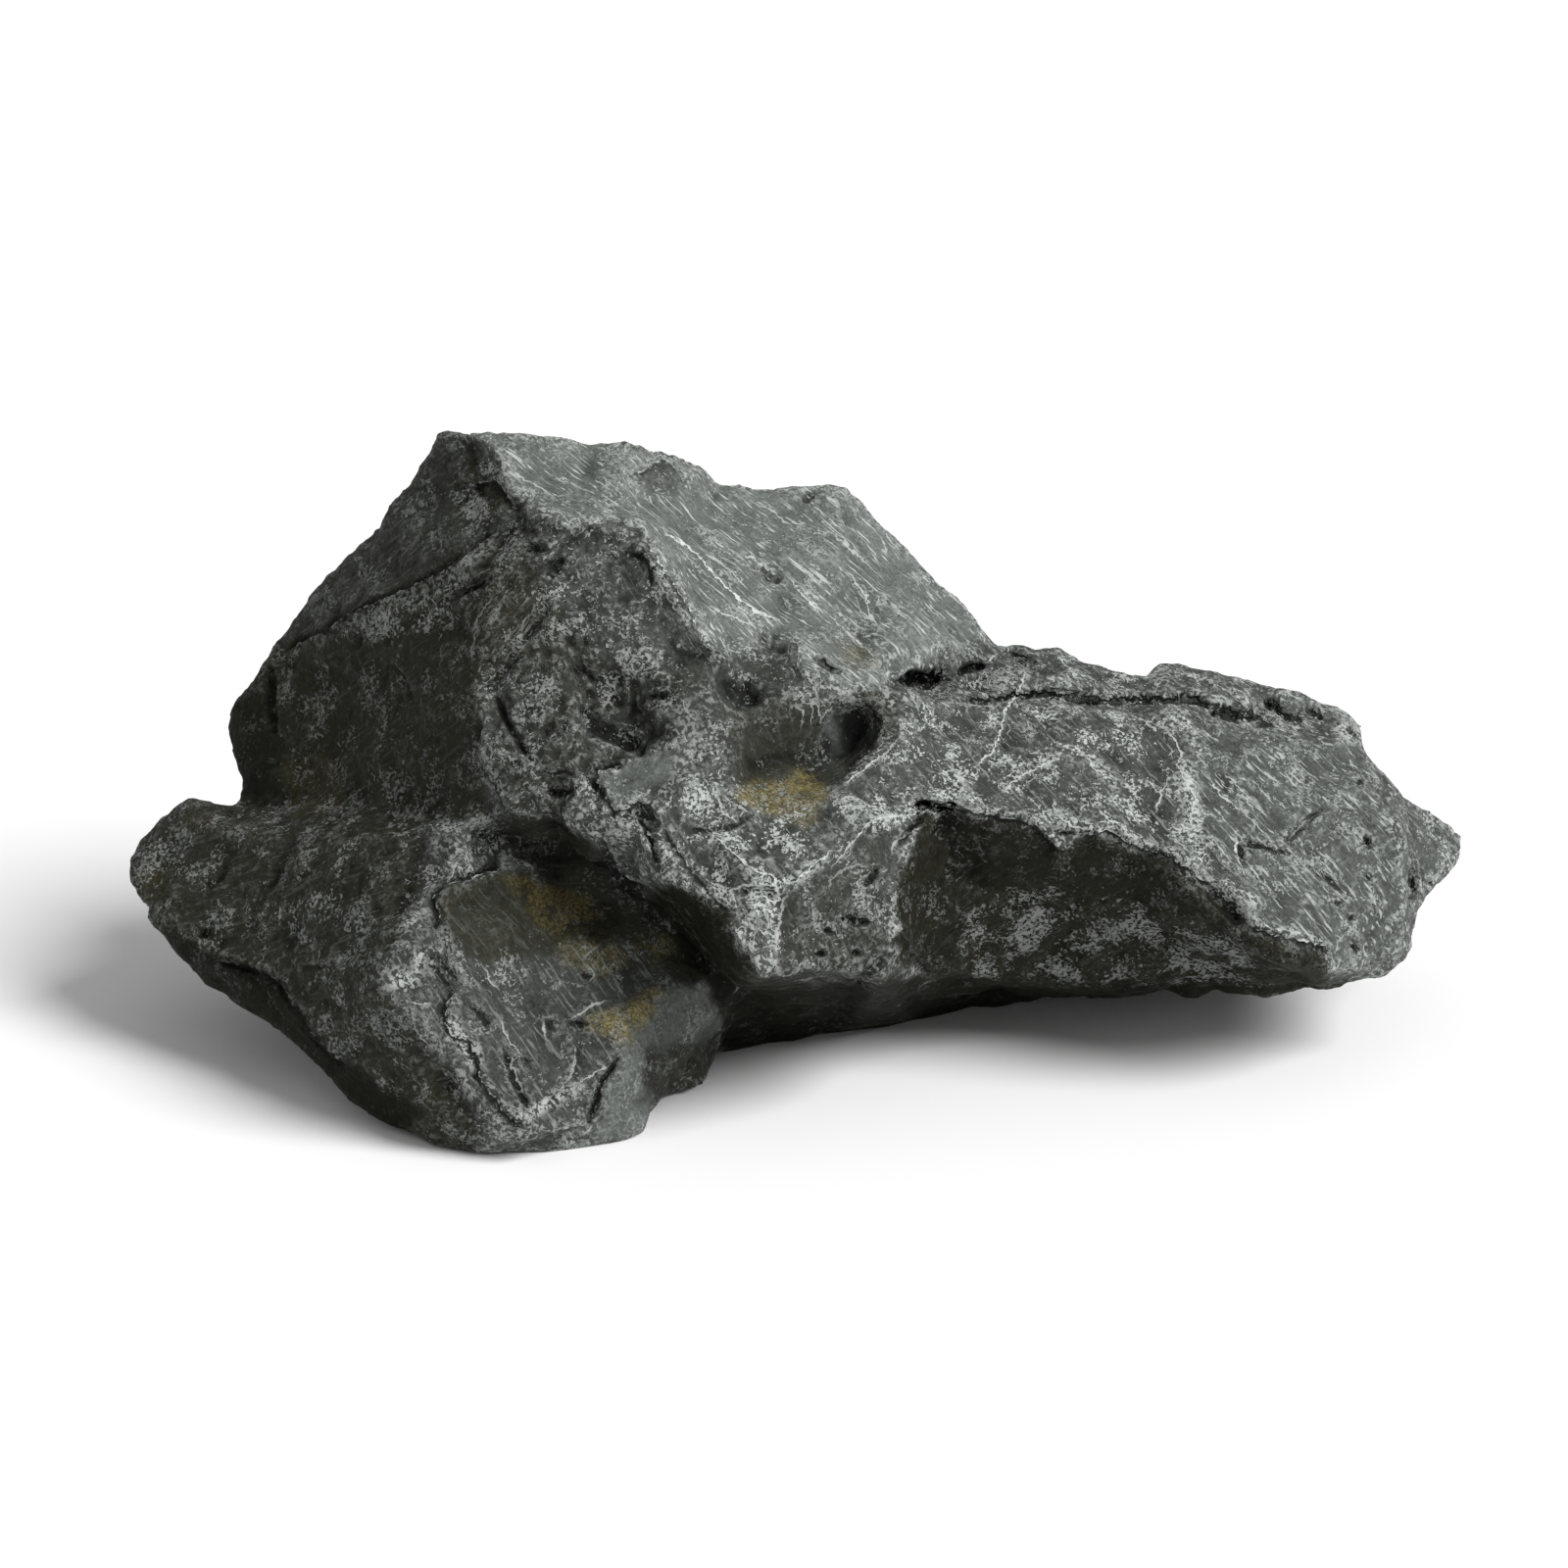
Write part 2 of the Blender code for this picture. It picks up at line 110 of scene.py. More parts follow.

# Regions of the front as seen: shade, specks, striae, roughness, slant of the striae, corners.
# The shade is the stone's tone, with painted shade and painted light in the regions marked so
REGIONS = {
    "slab": (1.35, 0.3, 1.0, 0.3, -41, [(-66, 73), (-48, 74), (-27, 68), (-12, 64), (8, 63),
        (18, 60), (28, 46), (40, 37), (42, 28), (32, 24), (20, 20), (14, 20), (2, 24), (0, 29),
        (-13, 26), (-23, 38), (-27, 46), (-30, 52), (-40, 53), (-52, 56), (-57, 62)]),
    # upper_flank and crown_recess: painted shade on the upper flank turned from the light and in
    # the crown's recess
    "upper_flank": (0.45, 0.3, 0.2, 0.7, 35, [(-72, 74), (-64, 72), (-57, 62), (-52, 56),
        (-64, 49), (-74, 43), (-88, 35), (-106, 28), (-100, 36), (-86, 52)]),
    "crown_recess": (0.32, 0.9, 0.2, 1.0, 35, [(-64, 68), (-61.8, 68.7), (-57.7, 63.8),
        (-57.3, 61.8), (-55.7, 58), (-58.5, 53.6), (-66, 54.4), (-66.7, 60.5)]),
    "crown_flake": (0.6, 0.3, 0.2, 0.5, -41, [(-32.2, 62.8), (-27.9, 63.8), (-26.7, 65.6),
        (-24.7, 65.8), (-23, 63.8), (-22.2, 60.5), (-27, 60.5), (-31.2, 62)]),
    # flank, flank_top and flank_end: painted shade on the left faces turned from the light
    "flank": (0.28, 0.4, 0.12, 0.6, 35, [(-106, 28), (-88, 35), (-74, 43), (-64, 49), (-55, 52),
        (-59, 38), (-62, 20), (-63, 6), (-60, -6), (-75, -7), (-112, -4), (-117, 12),
        (-110, 22)]),
    "flank_top": (0.32, 0.7, 0.3, 0.9, 35, [(-58, 50), (-67, 43), (-80, 37), (-92, 31), (-86, 28),
        (-78, 29), (-70, 32), (-60, 36)]),
    "flank_end": (0.17, 0.1, 0.1, 0.5, 80, [(-118, 12), (-109, 19), (-105, 20), (-103.5, 6),
        (-103, -5), (-114, -5)]),
    "face": (0.45, 0.5, 0.1, 1.6, -60, [(-55, 54), (-40, 53), (-30, 52), (-27, 46), (-23, 38),
        (-13, 26), (-19, 22), (-22, 10), (-24, 0), (-36, -6), (-42, -9), (-58, -6), (-62, 6),
        (-62, 20), (-59, 38)]),
    "strata": (0.36, 0.5, 0.6, 1.4, 55, [(-66, 48), (-60, 51), (-52, 52), (-46, 47), (-42, 38),
        (-48, 30), (-53, 25), (-60, 20), (-65, 30), (-68, 40)]),
    "face_top": (0.55, 0.5, 0.1, 0.8, -60, [(-52, 52), (-40, 52), (-30, 50), (-26, 43), (-20, 32),
        (-18, 27), (-24, 22), (-30, 24), (-38, 27), (-44, 34), (-50, 42)]),
    "flake": (1.2, 0.2, 0, 0.2, -60, [(-38.3, 2.6), (-33, 4.2), (-30, 6), (-26, 7), (-22, 4),
        (-22.5, 0), (-24.5, -3.5), (-27.5, -5), (-29.8, -3.3), (-34.2, -5.6), (-36.9, -1.5),
        (-38.3, 0.6)]),
    "face_pit": (0.55, 0.4, 0, 1.0, -60, [(-41, 15.5), (-36.5, 14), (-32, 12.5), (-27.5, 13),
        (-26, 10), (-28, 6), (-32, 7), (-37, 7.5), (-40, 11)]),
    "dimples": (0.5, 0.5, 0.1, 0.3, -50, [(-23, 36), (-13, 27), (0, 29), (2, 24), (14, 20),
        (18, 15), (8, 17), (-8, 15), (-12, 9), (-22, 10), (-19, 22)]),
    "prow": (0.64, 0.7, 0.3, 0.7, -55, [(-24, 0), (-22, 10), (-12, 9), (-10, 0), (0, -6), (10, -2),
        (20, 6), (24, 2), (30, -6), (24, -14), (23, -37), (10, -39), (-6, -39), (-20, -22),
        (-37, -7)]),
    "prow_right": (0.47, 0.5, 0.2, 0.6, -70, [(-0.5, -21.5), (9.5, -17), (16, -10.5), (25, -9.5),
        (22, -14.5), (22.5, -29), (22, -35), (15.5, -40), (6, -38.5), (-2, -39.5), (-1, -29)]),
    # bowl: painted shade in the hollow under its overhanging upper wall
    "bowl": (0.4, 0.3, 0.1, 0.4, -60, [(-12, 8), (-8, 16), (8, 17), (14, 14), (11, 8), (8, 4),
        (4, 3), (-8, -1), (-11, 1)]),
    "pit": (0.7, 0.15, 0, 0.2, -60, [(8, -4), (14, -1), (18, 4), (20, 10), (17.5, 16), (14, 14),
        (11, 8), (8, 4), (8, 0)]),
    "tan_floor": (0.43, 0.3, 0.1, 0.3, -60, [(-10, -2), (-4, 1), (1, 1.5), (4, 4), (8, 2),
        (8.6, -1), (6, -5), (0, -6.4), (-6, -5)]),
    # pit_wall: painted light on the left wall of the deep pit, the side that faces the light
    "pit_wall": (1.4, 0.4, 0, 0.3, -60, [(7, 10), (9, 14), (13, 15.5), (15.5, 14.5), (13.5, 11),
        (10, 9)]),
    "pit_shadow": (0.45, 0.1, 0, 0.2, -60, [(7.6, 5), (8.5, 0), (12, -0.4), (18.6, 7.5), (17, 12),
        (14, 9), (11, 5)]),
    "arm": (0.62, 0.65, 0.5, 0.5, -50, [(24, 20), (32, 26), (46, 30), (60, 28), (80, 25),
        (106, 21), (120, 12), (127, -4), (129, -24), (130, -36), (122, -42), (110, -39), (98, -34),
        (90, -27), (82, -20), (72, -14), (52, -9), (34, -6), (28, -8), (22, 4)]),
    "arm_end": (0.85, 0.35, 0.9, 0.4, -50, [(84, 20), (106, 18), (120, 12), (127, -4), (129, -24),
        (130, -36), (122, -42), (110, -39), (98, -30), (88, -14), (84, 0)]),
    "saddle": (0.55, 0.5, 0.3, 0.6, -30, [(22, 23), (30, 24), (36, 27), (42, 26), (50, 28),
        (56, 23), (44, 20), (34, 18), (26, 18)]),
    "spur": (0.75, 0.5, 0.5, 0.4, -45, [(121, 0), (134, -5), (142, -10), (138, -18), (130, -27),
        (128, -16)]),
    # alcove and alcove_grain: painted shade in the alcove under the arm's rim
    "alcove": (0.19, 0.35, 0.1, 0.5, 30, [(28, -7), (34.9, -5.5), (40.6, -6.8), (48.7, -8),
        (52.4, -10), (56.9, -13.4), (60.2, -11.6), (65.9, -10), (70, -12.2), (78.9, -15.6),
        (85.5, -20), (89.1, -23.3), (92.8, -27), (96, -30), (98.9, -31.6), (104.6, -32.4),
        (109.9, -33.6), (112, -38), (108, -43), (84, -42), (40, -42), (28, -39), (23, -34),
        (24, -20)]),
    "alcove_grain": (0.24, 0.8, 0.1, 0.8, 30, [(41, -21), (56, -20), (70, -24), (84, -27),
        (98, -36), (92, -41), (60, -40), (40, -40), (34, -36)]),
    # lobe and lobe_under: painted shadow of the main body over the lobe, and painted shade below
    # its ledge
    "lobe": (0.36, 0.5, 0.2, 0.7, 20, [(-137, -20), (-122, -2), (-108, -3), (-74, -5), (-66, -14),
        (-76, -24), (-83, -40), (-76, -50), (-62, -66), (-62, -79), (-96, -62), (-134, -26)]),
    "lobe_under": (0.14, 0.1, 0.1, 0.5, -40, [(-130, -28), (-116, -35.5), (-105.4, -38.4),
        (-102.2, -41.2), (-99.3, -46.1), (-95.2, -52.2), (-89.1, -57.1), (-80, -62), (-74, -67),
        (-78, -72), (-100, -64), (-124, -42)]),
    "foot": (0.53, 0.35, 0.4, 0.35, -55, [(-73, -9), (-65, -20), (-56, -16), (-44, -22),
        (-22, -36), (-18, -40), (-22, -44), (-32, -52), (-38, -68), (-48, -74), (-62, -66),
        (-76, -50), (-83, -40), (-78, -30), (-72, -23)]),
    # foot_top: painted shadow of the overhanging prow over the upper foot
    "foot_top": (0.35, 0.25, 0.2, 0.35, -50, [(-70, -22), (-64, -20), (-58, -19), (-54, -23),
        (-51, -27), (-49, -30), (-45, -32), (-47, -35), (-53, -36), (-60, -35), (-65, -36),
        (-68, -34), (-70, -28)]),
    "plain_face": (1.2, 0.1, 0.1, 0.15, -70, [(-22, -40), (-12, -42), (-14, -52), (-26, -56),
        (-27, -70), (-40, -76), (-37, -66), (-32, -50)]),
    # recess: painted shade in the recess below the prow
    "recess": (0.38, 0.1, 0.1, 0.5, 0, [(-60, -6), (-36, -8), (-20, -22), (-6, -39), (-14, -42),
        (-24, -38), (-44, -22), (-56, -14)]),
    # Painted shadow of the overhanging prow over the brown stain on the upper foot
    "stain_in_painted_shadow": (0.27, 0.1, 0, 0.5, 0, [(-57.9, -17.3), (-53, -18.9), (-47.3, -21.4), (-39.1, -23.4),
        (-35, -26), (-32, -31), (-37, -33), (-41.6, -31), (-46, -31.5), (-50, -28.5),
        (-53, -25)]),
    # lip_underside: painted shade under the lip of the prow
    "lip_underside": (0.13, 0.1, 0, 0.5, 0, [(-26, -22.5), (-20, -21.5), (-14.9, -22.8),
        (-11.3, -27), (-12.6, -29), (-10, -32.7), (-7.6, -35.6), (-6, -40), (-14, -42),
        (-20, -36)]),
    # hanging_blocks: painted light on the blocks under the face, which turn down from the light
    "hanging_blocks": (0.75, 0.5, 0.1, 0.8, -60, [(-41.8, 0.2), (-45.1, -6), (-43.8, -9.2),
        (-40, -12), (-36.9, -14.1), (-34, -19.5), (-28, -22), (-22, -21), (-20.5, -18),
        (-24.7, -10), (-30, -5), (-35, -6), (-38, -1)]),
    # underside: painted shade under the stone's front
    "underside": (0.13, 0.1, 0.1, 0.5, 5, [(-14, -42), (-4, -39.5), (16, -41), (24, -40),
        (84, -42), (108, -43), (60, -48), (26, -51), (-12, -58)]),
    "toe": (0.4, 0.3, 0.1, 0.6, 0, [(-28, -54), (-14, -52), (-12, -64), (-24, -67), (-29, -62)]),
}
HIDDEN_SIDE = (0.6, 0.5, 0.4, 0.7, -30)
REGION_JITTER = 2.2
REGION_BLEND_STEPS = 3
GRAIN_STRETCH = 20

# Steps as seen: height, reach, chalk on the rim, points. Raised to the left of the way along them
STEPS = [
    # Crown
    (1.2, 4, 0.3, [(-63.2, 70.9), (-59.8, 68.3), (-57.7, 65.2), (-57.3, 62.2)]),
    (1.3, 3, 0.9, [(-65.9, 60.3), (-61.8, 61.8), (-58.1, 61.6), (-56.3, 59.7), (-55.1, 56.4)]),
    (1, 2.5, 0.8, [(-32.2, 63), (-28.3, 64.2), (-26.9, 65.8), (-24.7, 66.2), (-22.8, 65),
     (-21.6, 63.2), (-19.3, 60.9)]),
    # Upper rim of the face
    (1.2, 3, 0.2, [(-47.5, 45.8), (-45.5, 48.7), (-42.6, 50.7), (-39.8, 52.6), (-36.9, 53.6),
     (-32.8, 53.6), (-30, 52), (-27.9, 49.5)]),
    (1.8, 3, 0.3, [(-32, 47.3), (-29.6, 47.1), (-27.7, 45.4), (-26.9, 43), (-26.7, 40.1)]),
    (0.8, 2, 0.9, [(-26.7, 43), (-25.1, 40.5), (-23.8, 38.1), (-22.2, 35.6), (-19.8, 33.6)]),
    (1.3, 3, 1, [(-28.3, 49.5), (-25.9, 45.8), (-23.4, 42.2), (-21, 38.1), (-18.5, 34.8),
     (-17.7, 31.6), (-16.1, 28.3), (-14, 26.7)]),
    (1, 2.5, 0.2, [(-22.4, 30.7), (-21.4, 27.9), (-19.3, 27.1), (-14.9, 26.9)]),
    # Face
    (1.3, 3, 0.5, [(-46.7, 37.7), (-48.5, 34), (-50.4, 30.7), (-52.8, 28.7)]),
    (1.2, 2.5, 0.2, [(-51.6, 43), (-50, 44.6), (-47.5, 45.8), (-43.8, 46.2)]),
    (1.2, 3, 0.5, [(-52.8, 25.9), (-55.7, 23.4), (-57.7, 21), (-58.5, 17.7)]),
    (1.2, 3, 0.8, [(-61.4, 14), (-62.2, 6.7), (-61, 3), (-58.9, -0.2), (-57.7, -3.1),
     (-55.7, -5.6)]),
    (1.2, 2.5, 0.5, [(-50.4, 3.2), (-47.5, 2.8), (-45.1, 3.2), (-41.4, 2)]),
    (0.8, 2.5, 0.5, [(-41.6, 26.7), (-39.8, 23.4), (-37.3, 22.6)]),
    (1.6, 3, 0.9, [(-33.2, 3.8), (-37.7, 2.6), (-38.3, 0.6), (-36.9, -1.5), (-35.3, -3.5),
     (-34.2, -5.6), (-31.2, -4.3), (-29.8, -3.5), (-27.5, -5.1), (-25.1, -8)]),
    # Left lip of the prow
    (1.2, 3, 0.6, [(-41.8, 0.2), (-44.2, -3.1), (-45.1, -6), (-43.8, -9.2), (-41.8, -11.3)]),
    (1.3, 4, 0.7, [(-37, -9.5), (-35.4, -13.4), (-33.8, -16.8), (-31.6, -19.3), (-27.9, -20.4)]),
    (1.3, 3, 0.9, [(-24.7, -8.8), (-22.2, -12.5), (-19.3, -16.6), (-14.9, -21.9), (-10.8, -26)]),
    (1, 3, 0.7, [(-11.8, -28.7), (-9.4, -31.9), (-6.9, -34.8), (-6.1, -37.6), (-4.5, -39.7)]),
    (1.2, 3, 0.2, [(-4.5, -39.9), (0.4, -39.3), (5.3, -38.2), (7.8, -39.3), (11.4, -40.5),
     (15.1, -41.3)]),
    # Flank
    (1.8, 4, 0.8, [(-58.9, 50.8), (-61.7, 49.1), (-67.8, 44.2), (-72.7, 41.8), (-78, 39.3),
     (-82.1, 37.3), (-85.8, 35.7), (-89.5, 34.4), (-93.1, 30.8), (-98.4, 29.1),
     (-102.1, 26.7)]),
    (0.9, 3, 0.2, [(-58, 42.2), (-61.7, 41.4), (-66.2, 38.9), (-70.3, 36.9)]),
    (0.8, 3, 0.2, [(-83.3, 32.8), (-85.8, 29.1), (-87.4, 25.9)]),
    (0.8, 3, 0.25, [(-80.5, 25.9), (-76.8, 21.8), (-75.2, 16.9)]),
    # Hollow
    (1, 2, 0.8, [(0.7, 29.7), (2.7, 28.7), (2.7, 25), (4.3, 20.9)]),
    (1.2, 4, 0.6, [(16.9, 17.3), (18.7, 14.9), (20, 12.4), (19.1, 9.6), (17.3, 6.3), (14.4, 3.8),
     (12, 1.8)]),
    (0.8, 2, 0.9, [(-6.5, -6.4), (-8.6, -5.2), (-10.6, -3.8), (-13.1, -2.1)]),
    # Arm
    (1.1, 3, 0.7, [(52.8, 20), (58.1, 19.8), (63.4, 18.1), (70, 16.9)]),
    (0.8, 2.5, 0.8, [(89.5, 21.1), (92.3, 17.4), (95.6, 14.9), (98.9, 12.5), (102.1, 10.9),
     (105.4, 10.2)]),
    (0.6, 3, 0.2, [(104.6, -7.9), (105.8, -4.2), (106, -0.6), (106.2, 2.7), (102.1, 6)]),
    (0.7, 3, 0.5, [(83.8, -10), (87.4, -14), (90.7, -17.3), (93.6, -19.8)]),
    (1, 3, 0.4, [(128.4, -23), (128.4, -18.9), (127.6, -14.9), (126.6, -10), (124.6, -5.9)]),
    # Rim of the alcove
    (2.2, 3, 0.8, [(34.9, -4.7), (40.6, -6), (44.7, -7), (48.7, -7.2), (52.4, -9.6), (54.4, -11.7),
     (56.9, -13.3)]),
    (2.4, 3.5, 1, [(60.2, -10.9), (65.9, -9.1), (70, -11.5), (73.2, -13.1), (78.9, -14.8),
     (81, -16.4), (85.5, -19.3), (89.1, -22.5), (92.8, -26.2), (94.9, -28.7)]),
    (2.2, 3, 1, [(87.4, -20.2), (90.3, -23), (93.1, -25.9), (96, -29.1), (98.9, -30.8),
     (104.6, -31.6), (109.9, -32.8), (111.5, -34.9)]),
    (0.9, 2.5, 0.3, [(22.4, -28.7), (24.9, -31.5), (26.9, -35.2), (30.6, -38.4)]),
    # Foot
    (2.2, 4, 1, [(-57.1, -18.1), (-60.7, -18.1), (-64.4, -19.8), (-67.7, -20.2), (-70.1, -21.8),
     (-71.3, -23.4), (-70.5, -25.5), (-69.9, -28.3), (-71.3, -30.8)]),
    (1, 3, 0.9, [(-68.9, -31.2), (-68.7, -34.9), (-67.7, -38.1), (-66, -40.6)]),
    (1.8, 3, 1, [(-66.4, -42.6), (-68.9, -44.7), (-68.9, -48.7), (-67.7, -51.2), (-64.4, -52.8),
     (-62.4, -56.1), (-62, -59.8), (-60.3, -62.6), (-58.7, -65.1), (-57.9, -66.7),
     (-54.6, -68.7), (-51.8, -67.9)]),
    (0.9, 3, 0.6, [(-74.2, -32), (-79.1, -32), (-82, -33.2)]),
    (0.8, 2.5, 0.8, [(-50.1, -70.4), (-47.3, -70.8), (-43.2, -70), (-39.5, -69.1)]),
    (0.7, 2.5, 0.8, [(-48.9, -64.7), (-45.6, -62.6), (-43.6, -59.8), (-42.4, -56.5),
     (-43.2, -53.2)]),
    # Lobe
    (2, 4, 0.3, [(-116, -35.5), (-111.1, -36.7), (-105.4, -38.4), (-102.2, -41.2), (-99.3, -46.1),
     (-95.2, -52.2), (-89.1, -57.1)]),
    (0.8, 2.5, 0.3, [(-98.9, -36.7), (-93.6, -36.7), (-90.7, -37.1)]),
    (0.8, 3, 0.25, [(-83, -50.6), (-82.2, -48.2), (-81.3, -51.4), (-80.5, -53.1)]),
]

# Cracks and pits as seen: depth, half width, points
CRACKS = [
    # Crown and slab
    (1, 0.6, [(-54.9, 56), (-52.8, 57.7), (-50.8, 58.9)]),
    (1.8, 0.5, [(6.6, 26), (8.4, 24.6), (11.5, 23.2)]),
    (1.3, 1.2, [(-3.8, 43.8), (-1, 41.8)]),
    (1.2, 1, [(4.3, 58.5), (6, 58.9)]),
    # Face
    (1.5, 1, [(-52.4, 47.9), (-49.1, 47.9)]),
    (1.3, 1.2, [(-47.9, 43), (-45.9, 45.4)]),
    (1, 0.8, [(-58.5, 17.3), (-56.9, 13.6), (-55.7, 10.8), (-53.6, 7.9), (-51.6, 5.5)]),
    (1.2, 1.6, [(-48.7, 10.4), (-45.1, 11.6)]),
    (1.9, 1.7, [(-40.2, 14.4), (-38.1, 11.2), (-33.2, 9.1), (-29.6, 7.1)]),
    (1.2, 0.7, [(-27.5, 17.7), (-23.4, 18.7)]),
    (1, 0.5, [(-25.9, 20.2), (-24.2, 20.8)]),
    (1, 0.5, [(-38.1, 3.4), (-36.1, 4), (-33.6, 4.2)]),
    (1.6, 0.8, [(-29.1, -8), (-26.7, -12.1), (-25.9, -17)]),
    (1.6, 1.3, [(-34.9, -6.4), (-30, -6), (-26.7, -8.8)]),
    (1.6, 0.9, [(-47.5, -1.9), (-45.5, -1.9)]),
    (1, 0.6, [(-40.2, 23), (-38.1, 20.2)]),
    (1.4, 1, [(-38.1, -0.2), (-37.7, -4.7)]),
    # Flank
    (1.2, 0.8, [(-59.3, 41.4), (-65, 38.9), (-69.9, 36.9)]),
    (1.2, 0.6, [(-92.3, 31.6), (-89.9, 33.6), (-87.8, 34.9)]),
    (1.2, 1, [(-105, 23.4), (-105, 15.3), (-104.2, 11.2)]),
    # Hollow
    (2, 2.4, [(-3.8, 30.3), (-0.6, 28.7)]),
    (1.8, 2.6, [(-10, 19.3), (-6.7, 18.1)]),
    # Saddle and arm crack
    (3.2, 1.2, [(25.1, 21.3), (27, 21.9), (30, 20.9), (31.4, 22.2)]),
    (1.6, 0.7, [(30.8, 20.8), (33.6, 21.8)]),
    (2.8, 0.9, [(36.3, 22.9), (37.6, 23.9), (40.4, 24.2)]),
    (2.2, 0.8, [(45.5, 26.7), (47.9, 26.1), (50.4, 25.3)]),
    (1.6, 0.5, [(36.5, 17.3), (41.8, 17.3), (47, 18), (52.8, 18.6), (60, 18), (66, 17.2),
     (72.6, 17.4), (78.4, 17.4), (84, 17.4), (88, 15.5)]),
    (2.4, 0.9, [(58.9, 17.9), (63.8, 17.4)]),
    (2.2, 0.6, [(81.3, 18.2), (84.2, 17.4), (86.4, 16.4)]),
    (2.6, 1.3, [(88.2, 15.1), (91.9, 14.7), (95.2, 14.1)]),
    (2.6, 1.1, [(98.9, 16.6), (101.3, 15.3), (104.6, 13.3)]),
    (1.8, 0.8, [(107, 15.3), (109.5, 14.1)]),
    (1.2, 0.6, [(115.2, 12.1), (116.2, 10)]),
    # Arm
    (1.1, 0.5, [(93.6, -11.6), (95.2, -12.4), (98.9, -13.2), (102.9, -14)]),
    (0.8, 0.5, [(102.1, -12.4), (104.6, -9.6), (107, -7.5), (109.9, -5.1)]),
    (1.1, 0.5, [(92.5, -11.2), (93.3, -14.4), (93.8, -16.9)]),
    (1.5, 0.5, [(117.3, 0.3), (117.7, 0.2)]),
    (1.8, 0.6, [(118.9, -11.2), (119.6, -12.8)]),
    (1.5, 0.5, [(119.1, -18.7), (119.7, -18.9)]),
    (1.5, 0.5, [(113.1, -24.4), (113.6, -24.4)]),
    (1.5, 0.5, [(115.3, -27.4), (115.9, -27.5)]),
    (1.8, 0.8, [(128.4, -18.1), (128.7, -20.6), (128.4, -23)]),
    (1.2, 0.6, [(131.7, -20.2), (132.3, -20.4)]),
    (1.2, 0.5, [(115.6, -32), (117.2, -34.4)]),
    (0.6, 0.6, [(107.8, -16.9), (111.9, -19.8), (115.2, -22.6)]),
    # Alcove and prow
    (3.2, 0.9, [(27.5, -4.3), (34.4, -4.7)]),
    (1.2, 0.6, [(23, -12.3), (25.9, -9.2), (29.1, -6.4)]),
    (1.6, 0.7, [(55.3, -9.6), (58.9, -10)]),
    (1.2, 0.9, [(-7.8, -21.9), (-2.4, -22.7)]),
    (2, 0.9, [(12.7, -27.6), (16.3, -28)]),
    (1.5, 0.6, [(9.2, -30), (9.6, -30.2)]),
    (1.5, 0.6, [(14.3, -34.5), (14.7, -34.6)]),
    (1.5, 0.7, [(6.9, -35.3), (8.2, -34.8)]),
    (1.2, 0.6, [(18.8, -17.6), (17.1, -20.5)]),
    (0.7, 0.4, [(-20, -9.1), (-15.1, -9.5), (-10.6, -8.7), (-6.5, -6.6)]),
    (1.4, 1, [(21.6, -35.2), (19.2, -37.2), (15.5, -40.1)]),
    (1, 0.5, [(75.3, -13.5), (76.9, -13.6)]),
    # Foot
    (1.3, 0.7, [(-33.8, -56.1), (-36.7, -60.2), (-38.3, -64.2), (-39.5, -68.7)]),
    (0.8, 0.4, [(-57.1, -54.4), (-55.8, -58.9), (-53.8, -63.4), (-52.2, -67.1)]),
    (0.7, 0.4, [(-54.2, -54.9), (-51.8, -58.1)]),
    (0.7, 0.4, [(-64.8, -44.2), (-62.4, -46.7), (-59.9, -50.4)]),
    (0.7, 0.4, [(-73, -34.9), (-70.5, -38.9), (-67.7, -42.2)]),
    (0.7, 0.4, [(-72.2, -34), (-68.9, -37.7), (-66.4, -41)]),
    (1.8, 0.8, [(-40.3, -38.7), (-39.9, -39)]),
    (0.9, 1.2, [(-48.1, -48.9), (-47.7, -49.3)]),
    (1.2, 0.5, [(-43.2, -48.7), (-39.9, -48.9)]),
    (1, 0.7, [(-63, -57.3), (-62.8, -59.3)]),
    (1.3, 0.6, [(-119.7, -31), (-117.7, -30)]),
]

